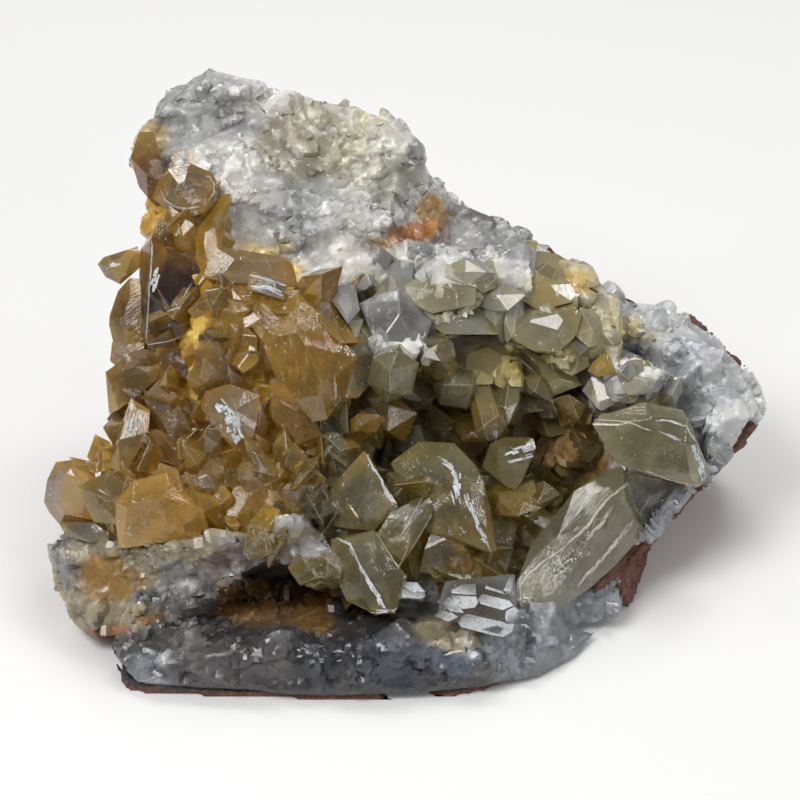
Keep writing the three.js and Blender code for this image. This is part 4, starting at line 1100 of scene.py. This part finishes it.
class Nodes:
    """A node tree, with short ways to add to it. What goes into a node is a socket or a value."""

    def __init__(self, tree):
        self.tree = tree

    def join(self, value, socket):
        if isinstance(value, bpy.types.NodeSocket):
            self.tree.links.new(value, socket)
        else:
            socket.default_value = value

    def node(self, kind, **values):
        """A new node. Each value is one of its settings, or goes into its input of that name."""
        node = self.tree.nodes.new("ShaderNode" + kind)
        for key, value in values.items():
            if hasattr(node, key):
                setattr(node, key, value)
            else:
                self.join(value, node.inputs[key])
        return node

    def attribute(self, name, output="Color"):
        return self.node("Attribute", attribute_name=name).outputs[output]

    def noise(self, place, scale, detail, roughness=0.5, output="Fac"):
        node = self.node("TexNoise", Scale=scale, Detail=detail, Roughness=roughness, Vector=place)
        return node.outputs[output]

    def mixed(self, kind, factor, first, second):
        """A colour mix."""
        mix = self.node("Mix", data_type="RGBA", blend_type=kind)
        for socket, value in ((mix.inputs[0], factor), (mix.inputs[6], first), (mix.inputs[7], second)):
            self.join(value, socket)
        return mix.outputs[2]

    def maths(self, operation, first, second):
        node = self.node("Math", operation=operation)
        for socket, value in zip(node.inputs, (first, second)):
            self.join(value, socket)
        return node.outputs[0]

    def vectors(self, operation, *values, **named):
        """A step of vector maths."""
        node = self.node("VectorMath", operation=operation, **named)
        for socket, value in zip(node.inputs, values):
            self.join(value, socket)
        return node.outputs["Value" if operation in ("LENGTH", "DOT_PRODUCT") else "Vector"]

    def spread(self, source, low, high):
        """A number from 0 to 1, spread over a range."""
        return self.node("MapRange", **{"Value": source, "To Min": low, "To Max": high}).outputs[0]

    def ramp(self, source, stops):
        """A map from a number to greys: (place, level) pairs."""
        node = self.node("ValToRGB")
        self.join(source, node.inputs[0])
        elements = node.color_ramp.elements
        while len(elements) < len(stops):
            elements.new(0.5)
        for element, (place, level) in zip(elements, stops):
            element.position = place
            element.color = (level, level, level, 1)
        return node.outputs[0]

    def bump(self, height, strength, distance, **under):
        """Fine relief, on top of another's normal if one is given."""
        return self.node("Bump", Strength=strength, Distance=distance, Height=height, **under).outputs[0]

    def tilted_cells(self, place, scale):
        """Small flat faces, each tilted its own way: their height, and each one's own number."""
        cells = self.node("TexVoronoi", Scale=scale, Vector=place)
        whole = self.vectors("SCALE", place, Scale=scale)
        near = self.vectors("SCALE", cells.outputs["Position"], Scale=scale)
        lean = self.vectors("SUBTRACT", cells.outputs["Color"], (0.5, 0.5, 0.5))
        slope = self.vectors("DOT_PRODUCT", self.vectors("SUBTRACT", whole, near), lean)
        return slope, self.maths("MULTIPLY", cells.outputs["Color"], 1.0)


def new_material(name):
    material = bpy.data.materials.new(name)
    material.use_nodes = True
    nodes = material.node_tree.nodes
    return material, Nodes(material.node_tree), nodes["Principled BSDF"], nodes["Material Output"]


def crystal_material(name, transmission, absorb, density, milk=0.15):
    """Glassy celestite: clear in its middle, stained at its rims, with veils and fine lines along it, and white
    scratches, edges and fractures that are partly wear and partly painted highlights and reflections.
    """
    material, nodes, shader, output = new_material(name)
    tone, stain = nodes.attribute("tone"), nodes.attribute("stain")
    grain, spot = nodes.attribute("grain", "Vector"), nodes.attribute("spot", "Vector")
    edge = nodes.attribute("edge", "Fac")
    white = (*daylight(240, 238, 230), 1)

    veil = nodes.noise(grain, scale=0.22, detail=4.0, roughness=0.6)
    veils = nodes.ramp(veil, [(0.5, 0), (0.85, 1)])
    ragged = nodes.maths("ADD", nodes.vectors("LENGTH", spot), nodes.maths("MULTIPLY", veil, 0.9))
    stained = nodes.ramp(nodes.maths("MULTIPLY", ragged, 0.5), [(0.42, 0), (0.78, 1)])

    fibre = nodes.node("Mapping", Scale=(2.0, 2.0, 0.14), Vector=grain)
    lines = nodes.noise(fibre.outputs[0], scale=1.0, detail=2.5, roughness=0.65)
    scratches = nodes.ramp(lines, [(0.6, 0), (0.72, 0.7)])
    broken = nodes.ramp(nodes.noise(grain, scale=0.16, detail=1.0), [(0.5, 0), (0.62, 1)])
    scratched = nodes.maths("MULTIPLY", scratches, broken)
    turned = nodes.node("Mapping", Rotation=(0.35, 0.25, 0.6), Scale=(0.5, 0.5, 0.08), Vector=grain)
    cracks = nodes.noise(turned.outputs[0], scale=1.0, detail=4.0, roughness=0.7)
    fractures = nodes.ramp(cracks, [(0.655, 0), (0.69, 0.9)])

    # White on scratches, edge strips and fracture planes: partly frosted wear, partly painted highlights and painted
    # reflections of inner fractures.
    frost_and_painted_sheen = nodes.maths("MAXIMUM", scratched, nodes.maths("MULTIPLY", edge, 0.3))
    frost_and_painted_sheen = nodes.maths("MAXIMUM", frost_and_painted_sheen, fractures)
    milky = nodes.mixed("MIX", veils, tone, nodes.mixed("MIX", milk, tone, white))
    tinted = nodes.mixed("MIX", stained, milky, stain)
    colour = nodes.mixed("MIX", nodes.maths("MULTIPLY", frost_and_painted_sheen, 0.7), tinted, white)
    cloud = nodes.maths("ADD", nodes.maths("MULTIPLY", veils, 0.35), nodes.maths("MULTIPLY", stained, 0.4))
    cloud = nodes.maths("MAXIMUM", cloud, frost_and_painted_sheen)
    slopes, _ = nodes.tilted_cells(grain, scale=0.3)
    facets = nodes.bump(slopes, strength=0.3, distance=0.001)
    nodes.join(colour, shader.inputs["Base Color"])
    nodes.join(nodes.spread(frost_and_painted_sheen, low=0.06, high=0.4), shader.inputs["Roughness"])
    nodes.join(nodes.spread(cloud, transmission, transmission * 0.4), shader.inputs["Transmission Weight"])
    nodes.join(nodes.bump(lines, strength=0.2, distance=0.0004, Normal=facets), shader.inputs["Normal"])

    shader.inputs["IOR"].default_value = CELESTITE_IOR
    shader.inputs["Coat Weight"].default_value = 0.3
    shader.inputs["Coat Roughness"].default_value = 0.04
    absorption = nodes.node("VolumeAbsorption", Color=(*absorb, 1), Density=density)
    nodes.join(absorption.outputs[0], output.inputs["Volume"])
    return material


def frost_and_glint_material():
    """Frosted growth steps, and painted glints on ridges: bright and finely pitted."""
    material, nodes, shader, _ = new_material("frost_and_painted_glint_celestite")
    pits = nodes.noise(nodes.attribute("grain", "Vector"), scale=2.6, detail=2.5, roughness=0.7)
    pitted = nodes.mixed("MULTIPLY", 1.0, nodes.attribute("tone"), nodes.ramp(pits, [(0.36, 0.4), (0.48, 1.0)]))
    nodes.join(pitted, shader.inputs["Base Color"])
    nodes.join(nodes.spread(pits, low=0.45, high=0.15), shader.inputs["Roughness"])
    nodes.join(nodes.bump(pits, strength=0.5, distance=0.0002), shader.inputs["Normal"])
    shader.inputs["IOR"].default_value = CELESTITE_IOR
    return material


def wall_material():
    """Massive celestite: smooth milky plates with light in them, and crushed white flakes that glint."""
    material, nodes, shader, _ = new_material("massive_celestite")
    tone = nodes.attribute("tone")
    place = nodes.node("TexCoord").outputs["Object"]
    swirl = nodes.noise(place, scale=260.0, detail=3.0, roughness=0.6, output="Color")
    bent = nodes.vectors("MULTIPLY_ADD", swirl, (0.003, 0.003, 0.003), place)
    plate, plate_mark = nodes.tilted_cells(bent, scale=260.0)
    flake, flake_mark = nodes.tilted_cells(bent, scale=800.0)
    crushed = nodes.ramp(nodes.noise(place, scale=110.0, detail=4.0, roughness=0.62), [(0.5, 0), (0.6, 1)])

    calm = nodes.mixed("MULTIPLY", 1.0, tone, nodes.ramp(plate_mark, [(0.0, 0.92), (1.0, 1.08)]))
    busy = nodes.mixed("MULTIPLY", 1.0, tone, nodes.ramp(flake_mark, [(0.0, 0.75), (0.5, 1.1), (1.0, 1.7)]))
    fine = nodes.maths("MULTIPLY", nodes.noise(place, scale=1500.0, detail=1.0), 0.3)
    small = nodes.maths("ADD", nodes.maths("MULTIPLY", flake, 0.5), fine)
    small = nodes.maths("MULTIPLY", small, nodes.spread(crushed, low=0.15, high=1.0))
    plates = nodes.bump(plate, strength=0.3, distance=0.0006)
    nodes.join(nodes.mixed("MIX", crushed, calm, busy), shader.inputs["Base Color"])
    nodes.join(nodes.spread(flake_mark, low=0.08, high=0.45), shader.inputs["Roughness"])
    nodes.join(nodes.bump(small, strength=0.45, distance=0.0006, Normal=plates), shader.inputs["Normal"])

    shader.inputs["Subsurface Weight"].default_value = 0.2
    shader.inputs["Subsurface Radius"].default_value = (1.0, 1.0, 1.0)
    shader.inputs["Subsurface Scale"].default_value = 0.002
    shader.inputs["IOR"].default_value = CELESTITE_IOR
    return material


def rock_material():
    """The host rock: dull and rough, with pale dust in its grain."""
    material, nodes, shader, _ = new_material("host_rock")
    grit = nodes.noise(nodes.node("TexCoord").outputs["Object"], scale=1400.0, detail=3.0, roughness=0.75)
    specks = nodes.ramp(grit, [(0.4, 0.55), (0.62, 1.15)])
    nodes.join(nodes.mixed("MULTIPLY", 1.0, nodes.attribute("tone"), specks), shader.inputs["Base Color"])
    nodes.join(nodes.spread(grit, low=0.75, high=0.98), shader.inputs["Roughness"])
    nodes.join(nodes.bump(grit, strength=0.8, distance=0.0006), shader.inputs["Normal"])
    return material


# The pieces.
body_mesh, body_ways, body_shade, body_rim = broken_body()
body_places = vertex_places(body_mesh)
body_colours = body_tones(body_places, body_shade, body_rim)
set_colour(body_mesh, "tone", "POINT", body_colours)
dress(body_mesh, wall_material(), smooth=True)
body_mesh.set_sharp_from_angle(angle=CREASE)
place_piece("celestite_body", body_mesh, ["celestite_mass"])
body_tree = tree_of(body_mesh)

rind_mesh = rough_rind()
set_colour(rind_mesh, "tone", "POINT", rind_tones(vertex_places(rind_mesh)))
dress(rind_mesh, rock_material(), smooth=False)
place_piece("rock_rind", rind_mesh, ["matrix_rind"])

honey_glass = crystal_material("honey_celestite", transmission=0.82, absorb=(0.95, 0.82, 0.42), density=60)
green_glass = crystal_material("grey_green_celestite", transmission=0.85, absorb=(0.86, 0.82, 0.6), density=50)
olive_glass = crystal_material("olive_celestite", transmission=0.75, absorb=(0.84, 0.77, 0.48), density=28)
pale_glass = crystal_material("pale_celestite", transmission=0.5, absorb=(0.9, 0.9, 0.86), density=25, milk=0.25)
# White for frosted steps and for painted glints.
frost_and_glint_paint = frost_and_glint_material()
wall_glass = crystal_material(
    "translucent_celestite", transmission=0.35, absorb=(0.93, 0.94, 0.93), density=15, milk=0.35)
crystal_pieces = []


def crystal_group(name, seed, stain, gems, fills, material, nodes):
    """Large crystals with smaller ones round them, as one piece."""
    cluster = Cluster(seed, stain)
    for root_tone, tip_tone, depth, corners in gems:
        cluster.gem((root_tone, tip_tone), depth, corners)
    large = all_faces(cluster.meshes)[0] if gems else None
    for area in fills:
        cluster.fill(area, large)
    crystal_pieces.append(crystal_piece(name, cluster, material, nodes))


def wall_blocks(cluster, spacing, sizes, flat, lean, chosen):
    """Sugary crumbs of massive celestite, set into the body's surface and whiter at their rims."""
    for k in thinned(body_places, spacing, cluster.draws):
        radius = cluster.draws.uniform(*sizes) * MM
        thickness = radius * cluster.draws.uniform(*flat)
        way = Vector(body_ways[k])
        leaning = way + Vector(cluster.draws.normal(size=3)) * lean
        stretch = cluster.draws.uniform(1, 1.6)
        if chosen[k]:
            tone = body_colours[k]
            rim = np.minimum(tone * 1.5 + 0.03, 0.85)
            middle = Vector(body_places[k]) - way * thickness * 0.43
            cluster.chip(middle, leaning, radius, thickness, stretch, (tone * 0.85, tone, rim))


crystal_group("honey_druse", 301, ["amber", "mustard", "honey", "mustard", "orange"],
              HONEY_GEMS, FILLS["honey"], honey_glass, ["honey_crystals"])
crystal_group("centre_blades", 302, ["mustard", "olive", "dark_olive"],
              CENTRE_GEMS, FILLS["centre"], green_glass, ["center_crystals"])
crystal_group("pocket_druse", 303, ["dark_olive"],
              [], FILLS["pocket"], olive_glass, ["pocket_crystals"])
crystal_group("right_prism", 304, ["grey_green"],
              PRISM_GEMS, [], green_glass, ["right_prism_crystal"])
crystal_group("right_blade", 305, ["grey_green"],
              BLADE_GEMS, [], green_glass, ["lower_right_blade"])
crystal_group("terraced_plate", 306, ["grey"],
              PLATE_GEMS, [], green_glass, ["striated_plate"])
crystal_group("ledge_crystals", 307, ["grey_green", "grey", "olive"],
              LEDGE_GEMS, FILLS["ledge"], pale_glass, [])

# The crumbs stay off the crystals' own areas: middle and half sizes in the view.
CLEAR_AREAS = [
    ([-36, 0, 6], [24, 34, 26]),
    ([10, -12, -4], [34, 26, 24]),
    ([-22, -40, 8], [16, 8, 16]),
    ([52, -19, 3], [9, 7, 9]),
    RIGHT_LOBE,
]
LOWEST_CRUMB = 2.5
LOWEST_CRUMB_SEEN = -46
SUGARY = 0.61
body_view = in_view(body_places)
bare = (body_places[:, 2] > LOWEST_CRUMB * MM) & (body_view[:, 1] > LOWEST_CRUMB_SEEN)
for area in CLEAR_AREAS:
    bare &= ~inside(body_view, *area)
sugary = rough_noise(body_places, scale=7, seed=67, octaves=3) > SUGARY
blocks = Cluster(308, ["grey"])
wall_blocks(blocks, spacing=2.3, sizes=(0.35, 0.8), flat=(0.7, 1), lean=0.4, chosen=bare & sugary)
crystal_piece("wall_blocks", blocks, wall_glass, [])


# Small white flecks, painted glints on the crystals: the area's middle and half size as [right, up], and how many.
PAINTED_GLINT_FLECKS = [
    ([-42, 6], [14, 28], 50),
    ([-24, 0], [14, 22], 40),
    ([-40, -20], [18, 6], 24),
    ([4, -18], [22, 16], 36),
    ([14, 4], [26, 10], 30),
    ([50, -10], [10, 6], 6),
]
# A step lies this near the foremost of its corners, is about this long, and is made of this many feathers.
MOST_SLOPE = 0.7
STEP = 0.9
FEATHERS = 3


def laid_on(cluster, front, corners, rise, sunk, tones):
    """A thin flat hull on what is in front at each of its corners; none where nothing is."""
    places = [front(right, up) for right, up in corners]
    if None in places:
        return
    places = [max(near, max(places) - MOST_SLOPE) for near in places]
    top = [seen((right, up, near + rise)) for (right, up), near in zip(corners, places)]
    low = [seen((right, up, near - sunk)) for (right, up), near in zip(corners, places)]
    middle = sum(top, Vector()) / len(top)
    cluster.add(top + low, low[0], top[-1], tones, (middle, 0.01), chops=0, bevel=0)


def frost_and_painted_glints():
    """The streaks, flecks and terraces, partly frost and partly painted glints and reflections, laid on whatever is
    in front.
    """
    fronts = [body_tree] + [tree_of(piece.data) for piece in crystal_pieces]

    def front(right, up):
        found = [near for near in (front_of(tree, right, up) for tree in fronts) if near is not None]
        return max(found) if found else None

    cluster = Cluster(309, ["frost"])
    for tone, *line in STREAKS:
        for (right, up, half), (right_on, up_on, half_on) in zip(line, line[1:]):
            along = np.array([right_on - right, up_on - up])
            side = np.array([-along[1], along[0]]) / np.linalg.norm(along)
            count = max(1, round(np.linalg.norm(along) / STEP))
            for k in range(FEATHERS * count):
                shares = (k // FEATHERS + np.array([-0.2, 1.2]) + cluster.draws.uniform(-0.4, 0.4)) / count
                wide = (half + (half_on - half) * shares) * cluster.draws.uniform(0.1, 0.5, 2)
                off = side * cluster.draws.uniform(-0.9, 0.9) * max(half, half_on)
                start, end = (np.array([right, up]) + along * share + off for share in shares)
                corners = [start + side * wide[0], start - side * wide[0], end - side * wide[1], end + side * wide[1]]
                laid_on(cluster, front, corners, rise=0.1, sunk=0.5, tones=(tone, tone))
    for place, half, count in PAINTED_GLINT_FLECKS:
        for _ in range(count):
            start = np.array(place) + np.array(half) * cluster.draws.uniform(-1, 1, 2)
            angle, long, wide = cluster.draws.uniform((0.6, 0.2, 0.04), (2.6, 0.8, 0.15))
            along = np.array([math.cos(angle), math.sin(angle)])
            side = np.array([-along[1], along[0]]) * wide
            corners = [start + side, start - side, start + along * long]
            laid_on(cluster, front, corners, rise=0.08, sunk=0.4, tones=("pale", "frost"))
    for corners in TERRACES:
        laid_on(cluster, front, corners, rise=0.35, sunk=0.6, tones=("mid_grey", "frost"))
    return cluster


# The white streaks, flecks and terraces: partly frost, partly painted glints and reflections.
crystal_piece("frost_and_painted_glints", frost_and_painted_glints(), frost_and_glint_paint, [])


# The studio: a pale floor, a soft sky, large soft lamps and a ring of small ones for glints.
FLOOR_HALF = 2.0
FLOOR_GAP = 0.00005
AIM = (0, 0, 0.03)
GLINTS = 8
GLINT_DISTANCE = 0.6


def add_floor():
    bm = bmesh.new()
    corners = [(x * FLOOR_HALF, y * FLOOR_HALF, -FLOOR_GAP) for x, y in ((-1, -1), (1, -1), (1, 1), (-1, 1))]
    bm.faces.new([bm.verts.new(corner) for corner in corners])
    mesh = bpy.data.meshes.new("floor")
    bm.to_mesh(mesh)
    bm.free()
    material, _, shader, _ = new_material("pale_floor")
    shader.inputs["Base Color"].default_value = (0.9, 0.9, 0.9, 1)
    shader.inputs["Roughness"].default_value = 0.9
    mesh.materials.append(material)
    floor = bpy.data.objects.new("floor", mesh)
    bpy.context.scene.collection.objects.link(floor)


def add_lamp(name, place, size, power):
    lamp = bpy.data.lights.new(name, "AREA")
    lamp.shape = "RECTANGLE"
    lamp.size, lamp.size_y = size
    lamp.energy = power
    holder = bpy.data.objects.new(name, lamp)
    holder.location = place
    holder.rotation_euler = (Vector(AIM) - Vector(place)).to_track_quat("-Z", "Y").to_euler()
    bpy.context.scene.collection.objects.link(holder)


def add_sky(low, high):
    """A soft sky, brighter overhead."""
    world = bpy.data.worlds.new("soft_sky")
    world.use_nodes = True
    nodes = Nodes(world.node_tree)
    background = world.node_tree.nodes["Background"]
    height = nodes.node("SeparateXYZ", Vector=nodes.node("TexCoord").outputs["Generated"])
    nodes.join(nodes.spread(height.outputs["Z"], low, high), background.inputs["Strength"])
    background.inputs["Color"].default_value = (1.0, 0.985, 0.955, 1)
    bpy.context.scene.world = world


add_floor()
add_sky(low=0.14, high=0.4)
add_lamp("key", (-0.35, -0.35, 0.65), (0.35, 0.35), 3.2)
add_lamp("top", (0.15, 0.25, 0.7), (0.4, 0.2), 1.6)
add_lamp("fill", (0.5, -0.6, 0.35), (0.2, 0.2), 0.6)
for k in range(GLINTS):
    angle = 2 * math.pi * (k + 0.5) / GLINTS
    place = (GLINT_DISTANCE * math.cos(angle), GLINT_DISTANCE * math.sin(angle), 0.35 + 0.3 * (k % 2))
    add_lamp("glint", place, (0.06, 0.06), 0.2)
bpy.context.scene.view_settings.view_transform = "Standard"
